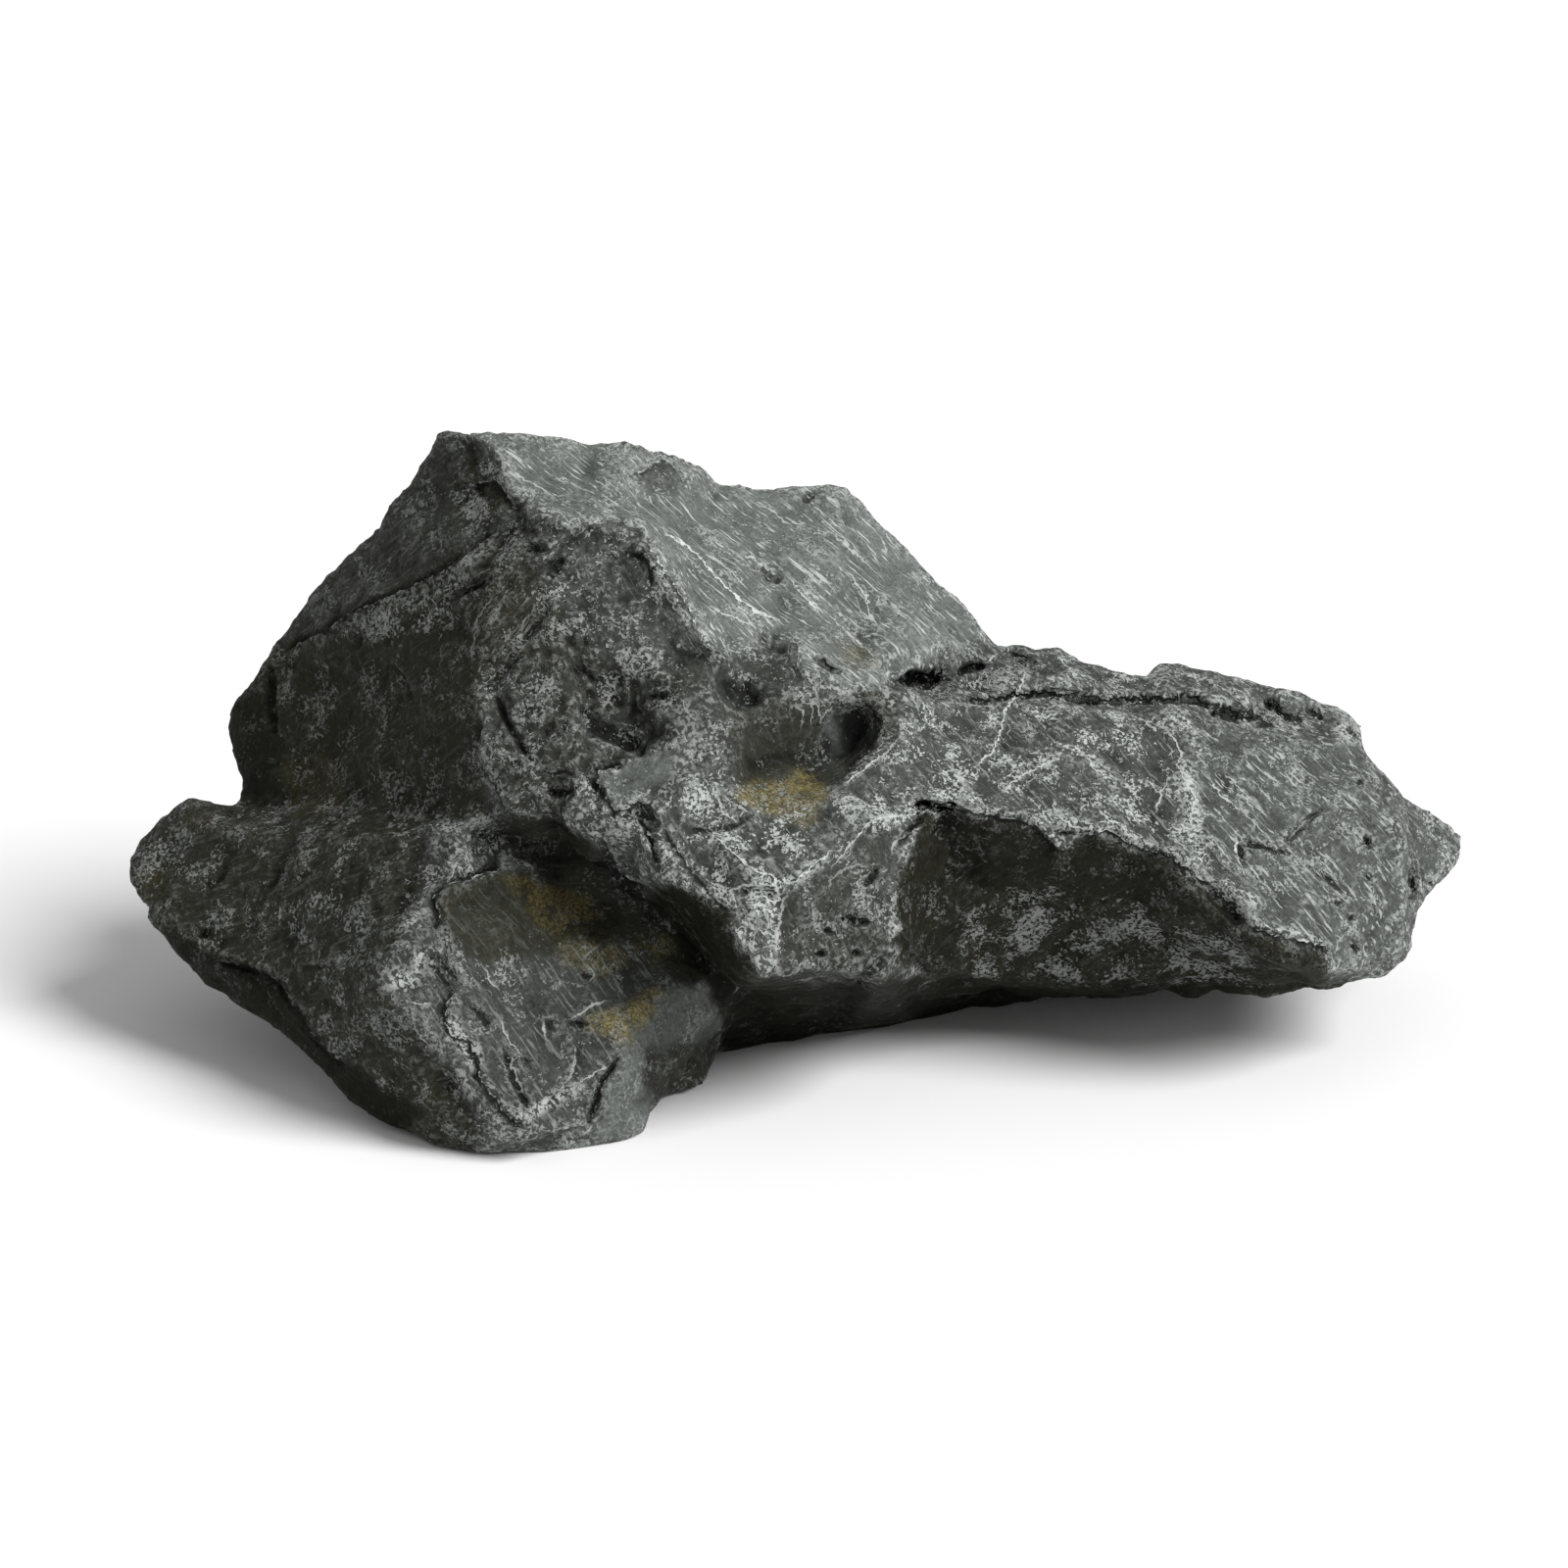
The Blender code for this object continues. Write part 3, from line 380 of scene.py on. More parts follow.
# Hair lines of chalk as seen: strength, points
HAIRS = [
    # Slab
    (1, [(-24.7, 51.8), (-19.8, 48.3), (-16.5, 45.4), (-14, 42.4), (-10.4, 38.7), (-7.5, 36.4),
     (-3.4, 34.4), (-1, 32.8)]),
    (1, [(1.1, 42.2), (3.5, 38.9), (7.2, 34.8)]),
    (0.7, [(8.8, 34.8), (12.1, 31.6), (15.3, 28.7), (18.6, 25.8)]),
    (0.7, [(-15.3, 36.9), (-13.6, 35.6), (-10, 34), (-5.9, 32.4)]),
    (0.7, [(-9.6, 47.1), (-6.7, 45.8), (-3.8, 44.2), (-1, 43)]),
    (0.7, [(12.1, 43.8), (16.2, 39.7), (17.8, 34.8), (19, 31.6)]),
    (0.6, [(-6.3, 57.3), (-1.8, 55.2), (1.5, 52.4)]),
    (0.6, [(9.2, 51.6), (12.9, 48.7), (17, 45)]),
    (0.6, [(19.4, 51.1), (21.1, 46.2)]),
    (0.6, [(3.5, 40.5), (8, 36.4)]),
    (0.5, [(19, 39.7), (22.7, 35.6), (26, 33.2)]),
    (0.5, [(10.9, 37.7), (14.9, 34)]),
    (0.6, [(-56.9, 64.2), (-53.6, 62.6), (-50, 60.5), (-46.7, 58.1)]),
    (0.5, [(-47.5, 63), (-43.4, 60.9)]),
    # Face and flank
    (0.7, [(-59.8, 38.1), (-62.6, 34), (-63.6, 29.1), (-63.4, 25)]),
    (0.5, [(-54.4, 30.7), (-52.4, 34.4), (-50, 36.9)]),
    (0.6, [(-21.4, 17.7), (-19.3, 14), (-17.3, 12.4)]),
    (0.5, [(-92.7, -6.4), (-89.9, -3.5), (-85.4, -0.2)]),
    (0.4, [(-77.6, -6), (-72.7, -7.2)]),
    # Hollow and saddle
    (0.9, [(1.5, 16.4), (3.9, 14.8), (3.5, 11.1)]),
    (0.9, [(4.7, 17.3), (6.8, 16.4), (7.2, 13.6), (10, 15.6)]),
    (0.7, [(9.2, 20.9), (11.7, 18.5), (13.3, 17.3)]),
    (0.9, [(43.6, 26.9), (40.6, 24.2)]),
    (0.9, [(24.2, 10), (21, 6.7), (18.1, 4.2), (14.4, 1.8), (12, -0.2)]),
    (0.8, [(23.8, 11.6), (25.1, 10.4)]),
    (0.8, [(26.7, 10.4), (29.6, 12)]),
    # Arm
    (1, [(50, 23.8), (47.9, 19.3), (45.1, 14.9), (44.2, 10.8), (42.6, 7.1), (38.9, 3.4)]),
    (1, [(44.2, -1.7), (49.6, 2.2), (52.8, 4.2), (56.1, 4.7)]),
    (0.7, [(53.6, 3.8), (56.5, 1)]),
    (0.7, [(49.1, 13.6), (50, 10.8)]),
    (0.7, [(47.9, 10.8), (50.8, 8.3)]),
    (0.9, [(61.4, 6.7), (63, 3.4), (68.3, -0.2)]),
    (0.9, [(54.9, -2.7), (55.3, -6), (58.1, -8), (62.2, -10)]),
    (0.9, [(47.9, -7.2), (52, -9.2)]),
    (0.9, [(63.8, -4.7), (66.7, -7.6), (70.8, -9.2)]),
    (0.9, [(55.3, 26.7), (58.1, 23.8), (60.2, 21.4)]),
    (1, [(78.4, 11.7), (80.1, 8.8), (81.3, 6), (80.1, 3.9), (82.1, 1.1), (83.8, -3), (82.9, -6.7),
     (83.8, -10)]),
    (0.8, [(86.2, 1.9), (89.9, -3), (93.1, -5.9)]),
    (0.7, [(89.5, 2.7), (93.6, -1.8), (96.4, -5.9)]),
    (0.5, [(98, 2.7), (100.1, -0.2)]),
    (0.5, [(105.4, -21), (109.5, -23.4)]),
    (0.5, [(95.6, -10.4), (96, -7.9), (92.3, -3)]),
    (0.9, [(92.3, -10), (92, -12.8), (93.1, -16.1), (93.6, -17.7)]),
    (0.8, [(102.9, -11.2), (105.4, -8.7), (107.8, -7.1)]),
    (0.8, [(78.4, -10.8), (81.7, -12.8), (82.5, -14)]),
    (0.7, [(85.4, -9.6), (86.6, -11.6), (87.8, -12.8)]),
    (0.6, [(99.7, 18.6), (104.2, 18.2), (106.2, 16.6)]),
    (0.5, [(129.5, -18.1), (130.1, -22.2)]),
    (0.9, [(78.9, 1.6), (76.9, -1.7), (76.3, -6.2)]),
    # Prow
    (0.9, [(28.2, -5.8), (22.9, -6.4), (18, -7.8), (15.1, -10.3), (13.1, -13.1), (11.4, -15.6),
     (9.4, -17)]),
    (1, [(10.2, -13.6), (6.5, -16.4), (2.9, -19.3), (0.4, -20.5)]),
    (1, [(0.4, -20.5), (-5.7, -17.8), (-10.2, -14), (-14.7, -10.7)]),
    (0.9, [(0, -21.1), (-4.5, -20.9), (-8.2, -20.5), (-10.6, -21.7), (-9.8, -24.6),
     (-10.2, -27.8)]),
    (0.6, [(0.8, -21.7), (-0.4, -24.6), (-1.2, -28.7), (-2, -35.2)]),
    (0.5, [(9, -22.1), (9.4, -19.7), (11.8, -17.6), (15.1, -16.6), (18, -16.8)]),
    (0.6, [(5.7, -24.6), (6.3, -27.8), (6.1, -30.7)]),
    (0.9, [(-10.4, -42.7), (-9.8, -40.9)]),
    (0.9, [(-14.7, 0.3), (-13.9, -2.9), (-11.8, -6.6), (-9, -7.8)]),
    (0.9, [(21.6, -14.8), (22.4, -12.3), (24.5, -10.3), (28.6, -8.7)]),
    (0.6, [(19.6, -18.9), (18.4, -22.1)]),
    # Foot and lobe
    (0.9, [(-66.4, -15.3), (-67.3, -18.1), (-69.7, -21.4)]),
    (0.8, [(-68.9, -15.7), (-67.7, -16.5)]),
    (0.8, [(-61.6, -36.9), (-59.9, -40.2), (-57.9, -42.2)]),
    (0.8, [(-57.9, -47.5), (-57.1, -50.8), (-55.4, -53.2), (-53, -56.1)]),
    (0.8, [(-55.8, -54.9), (-55.4, -58.5), (-53, -63.4)]),
    (0.8, [(-37.9, -56.1), (-36.7, -57.7), (-41.1, -60.2), (-43.2, -61.8)]),
    (0.7, [(-37.9, -32.4), (-41.1, -36.1)]),
    (0.8, [(-40.7, -36.9), (-38.3, -38.1), (-39.9, -40.6)]),
    (0.8, [(-48.9, -47.9), (-49.3, -49.6), (-48.5, -51.2), (-47.7, -52.8)]),
    (0.9, [(-76.7, -44.2), (-74.2, -44.9), (-71.8, -45.1)]),
    (0.8, [(-44, -47.9), (-39.1, -45.1), (-35.8, -44.2)]),
    (0.7, [(-81.6, -47.5), (-82.4, -50.4), (-80.7, -52.8)]),
    (0.7, [(-75.8, -48.7), (-74.6, -51.6), (-72.2, -53.6)]),
    (0.5, [(-57.9, -14.9), (-57.5, -17.7)]),
    (0.8, [(-78.1, -28.6), (-79.3, -30.6)]),
]
HAIR_HEIGHT = 0.25

# Broad chalk as seen: strength, half width, points
CHALK = [
    (0.6, 1.3, [(-58.7, 49.8), (-67.6, 43.2), (-78, 38.2), (-85.6, 34.6), (-90, 32)]),
    (0.9, 2.4, [(-81.1, -38.5), (-77.9, -40.2), (-75, -38.5)]),
    (0.9, 1.4, [(-74.2, -32.4), (-74.6, -37.3), (-76.2, -42.2)]),
    (1, 1.8, [(-68.5, -46.7), (-67.3, -51.2), (-63.6, -54.4), (-62.4, -58.9)]),
    (0.9, 1.5, [(-57.9, -66.7), (-51.8, -67.9), (-49.3, -65.5), (-46, -63.8), (-43.2, -62.6),
     (-39.5, -61.8)]),
    (0.7, 1.2, [(-69.7, -28.3), (-68.5, -34.9)]),
    (1, 1.8, [(81.3, 6), (82.9, -0.6), (83.3, -4.7), (83.8, -10)]),
    (0.9, 1.6, [(79.7, -16.5), (84.2, -18.9), (90.3, -23), (96, -29.1), (104.6, -31.6)]),
    (0.7, 1.5, [(82.1, 11.7), (85, 7.6)]),
    (0.8, 1.8, [(111.9, 12.5), (115.2, 10.9), (116.8, 7.6)]),
    (1, 1.6, [(26.9, -6), (20.8, -7), (15.9, -10.3)]),
    (0.8, 1.6, [(8.6, -14), (2.9, -19.3), (-0.4, -20.9)]),
    (0.5, 2, [(-10.6, -22.1), (-7.8, -27), (-4.5, -31.1)]),
    (0.8, 1.5, [(54.9, -5.8), (60.6, -8.2), (72.8, -12.3), (81, -14.8), (93.2, -26.2)]),
    (0.7, 1.8, [(40.6, 19.8), (48.7, 22.6), (51.2, 23.8)]),
    (0.7, 1.5, [(17.7, 16.9), (21, 18.1), (23.4, 14.9)]),
    (0.6, 1.5, [(49.6, 13.6), (50.8, 8.3)]),
    (0.7, 1.5, [(61.8, 5.9), (69.1, -1.5)]),
    (0.45, 2.5, [(-21.4, 17.3), (-18.1, 9.1), (-21, 2.6), (-17.7, -3.1)]),
    (0.6, 1.6, [(-61.8, 6.7), (-59.8, 1.8), (-57.3, -3.9)]),
    (0.7, 1.2, [(-52.8, 59.7), (-50.4, 58.1)]),
    (0.6, 1.6, [(-47.9, 36.4), (-46.7, 37.3)]),
    (0.8, 1.2, [(-28.7, 51.1), (-25.1, 41.3), (-23, 38.1)]),
    (0.8, 1, [(-17.7, 32.4), (-14.9, 27.9)]),
]

# Earthy stains as seen: strength, corners
STAINS = [
    (1, [(-10.2, -2.1), (-6.5, -0.5), (-0.4, 0.3), (1.6, 2.4), (4.5, 1.6), (7.8, -0.1),
     (8.6, -1.3), (6.1, -4.6), (0.4, -5.8), (-2.4, -6.4), (-6.1, -5.4), (-9, -3.8)]),
    (0.45, [(-2.4, -6.4), (6.1, -4.8), (6.1, -8.2), (4.5, -9.9), (1.2, -8.2)]),
    (0.3, [(11.3, 28.7), (16.2, 27.5), (19.4, 24.2), (16.2, 23), (12.9, 25.4)]),
    (1, [(-39.5, -47.9), (-35, -45.9), (-29.7, -43.8), (-26.9, -41.4), (-24.8, -42.6),
     (-25.6, -45.9), (-29.3, -48.7), (-31.8, -52.8), (-33, -52.8), (-35.8, -51.6),
     (-38.7, -50)]),
    (0.95, [(-57.9, -17.3), (-53, -18.9), (-47.3, -21.4), (-43.2, -22.6), (-39.1, -23.4),
     (-37.1, -26.7), (-41.6, -30.4), (-44.8, -31.2), (-48.9, -30), (-51.3, -26.7),
     (-54.6, -22.6)]),
    (0.7, [(-41.1, -31.6), (-35, -30.8), (-33, -36.5), (-37.1, -39.8), (-39.9, -38.5)]),
    (0.8, [(-29.7, -32.4), (-23.6, -32), (-22.8, -34.9), (-27.7, -36.5)]),
    (0.5, [(-45.6, -31.6), (-41.1, -31.6), (-40.7, -37.3), (-44.8, -36.5)]),
    (0.3, [(-102.1, 5.1), (-91.5, 5.1), (-89.9, -6), (-100.5, -6.8)]),
    (0.15, [(-123, -6.1), (-115.6, -6.1), (-115.6, -10.2), (-123, -9.4)]),
    (0.2, [(-131.6, -16.3), (-125.8, -17.1), (-125, -22.9), (-130.7, -22.9)]),
    (0.15, [(65.9, -36.8), (72.8, -36), (72.8, -40.9), (67.9, -40.5)]),
]


def length_setting(name, description, default):
    return bpy.props.FloatProperty(
        name=name, description=description, default=default, unit="LENGTH",
    )


def colour_setting(name, description, default):
    return bpy.props.FloatVectorProperty(
        name=name, description=description, default=default, subtype="COLOR", size=3,
    )


class StoneSettings(bpy.types.PropertyGroup):
    grain_size: length_setting(
        "Grain size", "Spacing of the mesh that carries the broken surface", 0.6 * MM,
    )
    chip_height: length_setting("Chip height", "Height of the chipped facets", 1.4 * MM)
    crumb_height: length_setting("Crumb height", "Height of the small crumbly roughness", 0.7 * MM)
    most_triangles: bpy.props.IntProperty(
        name="Most triangles", description="Triangles that the finished stone may have",
        default=192000,
    )
    dark_stone: colour_setting(
        "Dark stone", "Darkest colour of the bare stone", (0.049, 0.054, 0.049),
    )
    pale_stone: colour_setting(
        "Pale stone", "Palest colour of the bare stone", (0.099, 0.107, 0.100),
    )
    chalk: colour_setting("Chalk", "Colour of the chalky grain and worn edges", (0.55, 0.58, 0.55))
    ochre: colour_setting("Ochre", "Colour of the earthy stains", (0.225, 0.188, 0.08))
    # The olive tint goes on the regions painted darkest
    olive: colour_setting("Olive", "Tint of the damp, shaded faces", (0.064, 0.062, 0.036))


class StudioSettings(bpy.types.PropertyGroup):
    floor_size: length_setting("Floor size", "Side of the square floor", 12.0)
    floor_colour: colour_setting("Floor colour", "Colour of the pale floor", (0.86, 0.86, 0.86))
    key_strength: bpy.props.FloatProperty(
        name="Key light", description="Strength of the soft light from the upper right",
        default=3.8,
    )
    sky_strength: bpy.props.FloatProperty(
        name="Surrounding light", description="Strength of the even light from all round",
        default=0.42,
    )


def seen(places):
    """Where places of the frame are seen, in millimetres to the right and up."""
    offset = places - np.array(LOOKED_AT)
    shrink = 1 - offset @ np.array(NEAR) / SIGHT_DISTANCE
    return np.stack((offset[:, 0] / shrink, offset @ np.array(UP) / shrink), axis=1) / MM


def along(spots, points, reach):
    """The spots within reach of a line: their numbers, distance to its left and fade at ends."""
    points = np.array(points, float)
    low, high = points.min(0) - reach, points.max(0) + reach
    close = np.nonzero(np.all((spots > low) & (spots < high), axis=1))[0]
    gap = np.full(len(close), np.inf)
    left = np.zeros(len(close))
    way = np.zeros(len(close))
    total = 0
    for start, end in zip(points, points[1:]):
        run = end - start
        length = np.hypot(*run)
        offset = spots[close] - start
        share = np.clip(offset @ run / length**2, 0, 1)
        rest = offset - share[:, None] * run
        distance = np.hypot(rest[:, 0], rest[:, 1])
        nearer = distance < gap
        side = np.sign(run[0] * offset[:, 1] - run[1] * offset[:, 0])
        gap = np.where(nearer, distance, gap)
        left = np.where(nearer, side * distance, left)
        way = np.where(nearer, total + share * length, way)
        total += length
    taper = min(LINE_TAPER, total / 2)
    return close, left, smooth_step(np.minimum(way, total - way), -0.2 * taper, taper)


def inside(spots, corners):
    """Whether each spot lies inside the outline through the corners."""
    found = np.zeros(len(spots), bool)
    x, y = spots[:, 0], spots[:, 1]
    for (x0, y0), (x1, y1) in zip(corners, corners[1:] + corners[:1]):
        if y0 == y1:
            continue
        crosses = (y0 > y) != (y1 > y)
        found ^= crosses & (x < x0 + (y - y0) * (x1 - x0) / (y1 - y0))
    return found


def smooth_step(values, low, high):
    share = np.clip((values - low) / (high - low), 0, 1)
    return share * share * (3 - 2 * share)


def read(items, name, width, kind=float):
    values = np.empty(len(items) * width, kind)
    items.foreach_get(name, values)
    return values.reshape(-1, width)


def read_stone(mesh):
    """What the stone's steps start from: places, normals, edges, turn to the camera and spots."""
    places = read(mesh.vertices, "co", 3)
    normals = read(mesh.vertex_normals, "vector", 3, np.float32).astype(float)
    edges = read(mesh.edges, "vertices", 2, np.int32)
    turn = normals @ np.array(NEAR)
    loose = wander(places)
    spots = seen(places)
    numbers = region_numbers(spots + loose * REGION_JITTER, turn > SHOWN_FROM)
    return places, normals, edges, turn, loose, spots, numbers


def spread(values, edges, steps):
    """Values of the mesh's points, evened out with their neighbours a number of times."""
    count = len(values)
    columns = values.reshape(count, -1)
    shares = np.bincount(edges.ravel(), minlength=count)[:, None] + 1
    for _ in range(steps):
        total = columns.copy()
        for column in range(columns.shape[1]):
            first = np.bincount(edges[:, 0], columns[edges[:, 1], column], count)
            second = np.bincount(edges[:, 1], columns[edges[:, 0], column], count)
            total[:, column] += first + second
        columns = total / shares
    return columns.reshape(values.shape)


def field(places, size, offset=0.0):
    """Soft noise from -1 to 1 at each place, with lumps of about the given size."""
    shift = Vector((offset, offset * 0.7, -offset))
    return np.array([noise.noise(Vector(place) / size + shift) for place in places])


def facets(places, size):
    """Height of broken facets: each cell is a tilted plane, blended into the next at its rim."""
    heights = np.empty(len(places))
    half = Vector((0.5, 0.5, 0.5))
    for index, place in enumerate(places):
        point = Vector(place) / size
        distances, centres = noise.voronoi(point)
        total = 0
        weights = 0
        for distance, centre in zip(distances, centres):
            weight = max(0, 1 - (distance - distances[0]) / FACET_BLEND) ** 2
            total += weight * (noise.cell_vector(centre * FACET_SEED) - half).dot(point - centre)
            weights += weight
        heights[index] = total / weights
    return heights


def select_only(piece):
    bpy.ops.object.select_all(action="DESELECT")
    piece.select_set(True)
    bpy.context.view_layer.objects.active = piece


def apply_modifier(piece, kind, **settings):
    select_only(piece)
    bpy.ops.object.modifier_add(type=kind)
    modifier = piece.modifiers[-1]
    for name, value in settings.items():
        setattr(modifier, name, value)
    bpy.ops.object.modifier_apply(modifier=modifier.name)


def wander(places):
    """A soft sideways shift of every place, so that drawn outlines come out natural."""
    return np.stack((field(places, WANDER_SIZE, 1.0), field(places, WANDER_SIZE, 2.0)), axis=1)


def region_numbers(spots, facing):
    """The number of the region that each spot is in, or -1 for the hidden side."""
    numbers = np.full(len(spots), -1)
    for number, region in enumerate(REGIONS.values()):
        numbers[inside(spots, region[-1]) & facing] = number
    return numbers


def region_values(numbers):
    """Shade, specks, striae, roughness and slant for each region number."""
    table = np.array([region[:-1] for region in REGIONS.values()] + [HIDDEN_SIDE], float)
    return table[numbers]


def marked(spots, front, loose):
    """Height in millimetres that the steps, cracks and hair lines give to each spot."""
    heights = np.zeros(len(spots))
    shifted = spots + loose * LINE_WANDER
    for height, reach, _, points in STEPS:
        close, left, fade = along(shifted, points, 3 * reach)
        profile = np.where(left > 0, 0.6 * np.exp(-left / reach), -0.4 * np.exp(left / reach))
        heights[close] += height * fade * profile * np.minimum(1, np.abs(left) / STEP_CREST)
    for depth, half_width, points in CRACKS:
        reach = max(half_width, SMALLEST_CRACK)
        close, left, fade = along(shifted, points, 3 * reach)
        ends = np.array((points[0], points[-1]), float)
        round_end = np.hypot(*(shifted[close][:, None] - ends).transpose(2, 0, 1)).min(1)
        open_share = np.maximum(fade, smooth_step(round_end, half_width * 1.6, 0))
        softness = 0.5 if half_width < SOFT_PIT else 0
        across = smooth_step(np.abs(left), reach * 1.6, reach * softness)
        heights[close] -= depth * open_share * across
    for strength, points in HAIRS:
        close, left, fade = along(shifted, points, 2)
        heights[close] += HAIR_HEIGHT * strength * fade * smooth_step(np.abs(left), 1.2, 0.2)
    return heights * front


def weather(piece, settings):
    """Gives the stone its chips, ledges, cracks and crumbs by moving its points."""
    mesh = piece.data
    places, normals, edges, turn, loose, spots, numbers = read_stone(mesh)
    front = smooth_step(turn, SHOWN_FROM, FULLY_SHOWN)
    rough = spread(region_values(numbers)[:, 3], edges, ROUGH_BLEND_STEPS)
    heights = marked(spots, front, loose) * MM
    heights += facets(places, COARSE_FACET) * settings.chip_height * (0.5 + rough)
    heights += facets(places + 1, FINE_FACET) * settings.chip_height * FINE_FACET_SHARE * rough
    hidden_height = settings.chip_height * HIDDEN_FACET_SHARE * (1 - front)
    heights += facets(places, HIDDEN_FACET) * hidden_height
    crumbs = 1 - 2 * np.abs(field(places, COARSE_CRUMB, 5.0))
    crumbs += 0.5 - np.abs(field(places, FINE_CRUMB, 6.0))
    heights += (crumbs - 0.6) * settings.crumb_height * rough * 0.5
    resting = smooth_step(places[:, 2], *RESTING_BAND)
    places += normals * (heights * resting)[:, None]
    places[:, 2] = np.maximum(places[:, 2], 0)
    mesh.vertices.foreach_set("co", places.ravel())
    mesh.update()


def add_attribute(mesh, name, values):
    attribute = mesh.attributes.new(name, "FLOAT", "POINT")
    attribute.data.foreach_set("value", values.astype(np.float32))


def grain_places(places, normals, numbers):
    """Places turned and squeezed so that the grain of each region runs along its slant."""
    turned = np.empty_like(places)
    for number, slant in enumerate([region[4] for region in REGIONS.values()] + [HIDDEN_SIDE[4]]):
        members = numbers == (number if number < len(REGIONS) else -1)
        if not members.any():
            continue
        slant = math.radians(slant)
        course = RIGHT * math.cos(slant) + UP * math.sin(slant)
        outward = Vector(normals[members].mean(0))
        if number < len(REGIONS):
            course -= NEAR * course.dot(outward) / max(NEAR.dot(outward), 0.3)
        turn = np.array(course.to_track_quat("X", "Z").to_matrix())
        turned[members] = places[members] @ turn
    turned[:, 0] /= GRAIN_STRETCH
    return turned


def nearest_line(spots, lines):
    """Distance to the left of the nearest drawn line's rim, and how strongly it shows there."""
    gaps = np.full(len(spots), LINE_REACH)
    strengths = np.zeros(len(spots))
    for strength, half_width, points in lines:
        close, left, fade = along(spots, points, LINE_REACH + half_width)
        left = np.sign(left) * np.maximum(np.abs(left) - half_width, 0)
        fade = np.maximum(fade, half_width > 0)
        shown = strength * fade * smooth_step(np.abs(left), LINE_REACH, LINE_REACH * 0.6)
        nearer = (np.abs(left) < np.abs(gaps[close])) & (shown > 0)
        gaps[close[nearer]] = left[nearer]
        strengths[close[nearer]] = shown[nearer]
    return gaps, strengths


def paint(piece):
    """Stores what the finish reads: tone and painted shade, grain, wear, painted crevice shade,
    chalk, lines with painted ledge shadows, and stains.
    """
    mesh = piece.data
    places, normals, edges, turn, loose, spots, numbers = read_stone(mesh)
    facing = turn > SHOWN_FROM
    values = region_values(numbers)
    hidden = numbers < 0
    values[hidden, 0] *= 1 + 0.8 * field(places[hidden], HIDDEN_SHADE, 8.0)
    values = spread(values, edges, REGION_BLEND_STEPS)
    for column, name in enumerate(("shade", "specks", "striae", "rough")):
        add_attribute(mesh, name, values[:, column])
    grain_place = mesh.attributes.new("grain_place", "FLOAT_VECTOR", "POINT")
    turned = grain_places(places, normals, numbers).astype(np.float32)
    grain_place.data.foreach_set("vector", turned.ravel())

    fine = np.einsum("ij,ij->i", places - spread(places, edges, FINE_STEPS), normals) / MM
    broad = np.einsum("ij,ij->i", places - spread(places, edges, BROAD_STEPS), normals) / MM
    wear = 0.6 * np.clip(fine / 0.12, 0, 1) + 0.4 * np.clip(broad / 0.9, 0, 1)
    # Painted shade in hollows, from how far each point lies below its neighbours at two sizes
    crevice_shade = 0.5 * np.clip(-fine / 0.15, 0, 1) + 0.5 * np.clip(-broad / 0.9, 0, 1)
    add_attribute(mesh, "wear", wear)
    add_attribute(mesh, "crevice_shade", crevice_shade)

    shifted = spots + loose * LINE_WANDER
    chalk = np.zeros(len(places))
    for strength, half_width, points in CHALK:
        close, left, fade = along(shifted, points, 2 * half_width)
        band = strength * fade * smooth_step(np.abs(left), half_width * 1.6, half_width * 0.3)
        chalk[close] = np.maximum(chalk[close], band)
    add_attribute(mesh, "chalk", np.where(facing, chalk, 0))
    drawn = {
        "hair": [(strength, 0, points) for strength, points in HAIRS]
        + [(share, 0, points) for _, _, share, points in STEPS],
        # Ledges carry the painted shadow below each step, stronger for taller steps
        "ledge": [(min(1, height / FULL_LEDGE), 0, points) for height, _, _, points in STEPS],
        "seam": [
            (min(1, depth / 2), 0, points) if width < THIN_CRACK
            else (min(1, depth / FULL_PIT) ** 2, width - 0.5, points)
            for depth, width, points in CRACKS if width < WIDEST_DARK
        ],
    }
    for name, lines in drawn.items():
        gaps, strengths = nearest_line(shifted, lines)
        add_attribute(mesh, name + "_gap", gaps)
        add_attribute(mesh, name + "_strength", np.where(facing, strengths, 0))

    stains = np.zeros(len(places))
    for strength, corners in STAINS:
        stains = np.maximum(stains, strength * inside(spots + loose * STAIN_WANDER, corners))
    add_attribute(mesh, "stain", spread(np.where(facing, stains, 0), edges, STAIN_BLEND_STEPS))


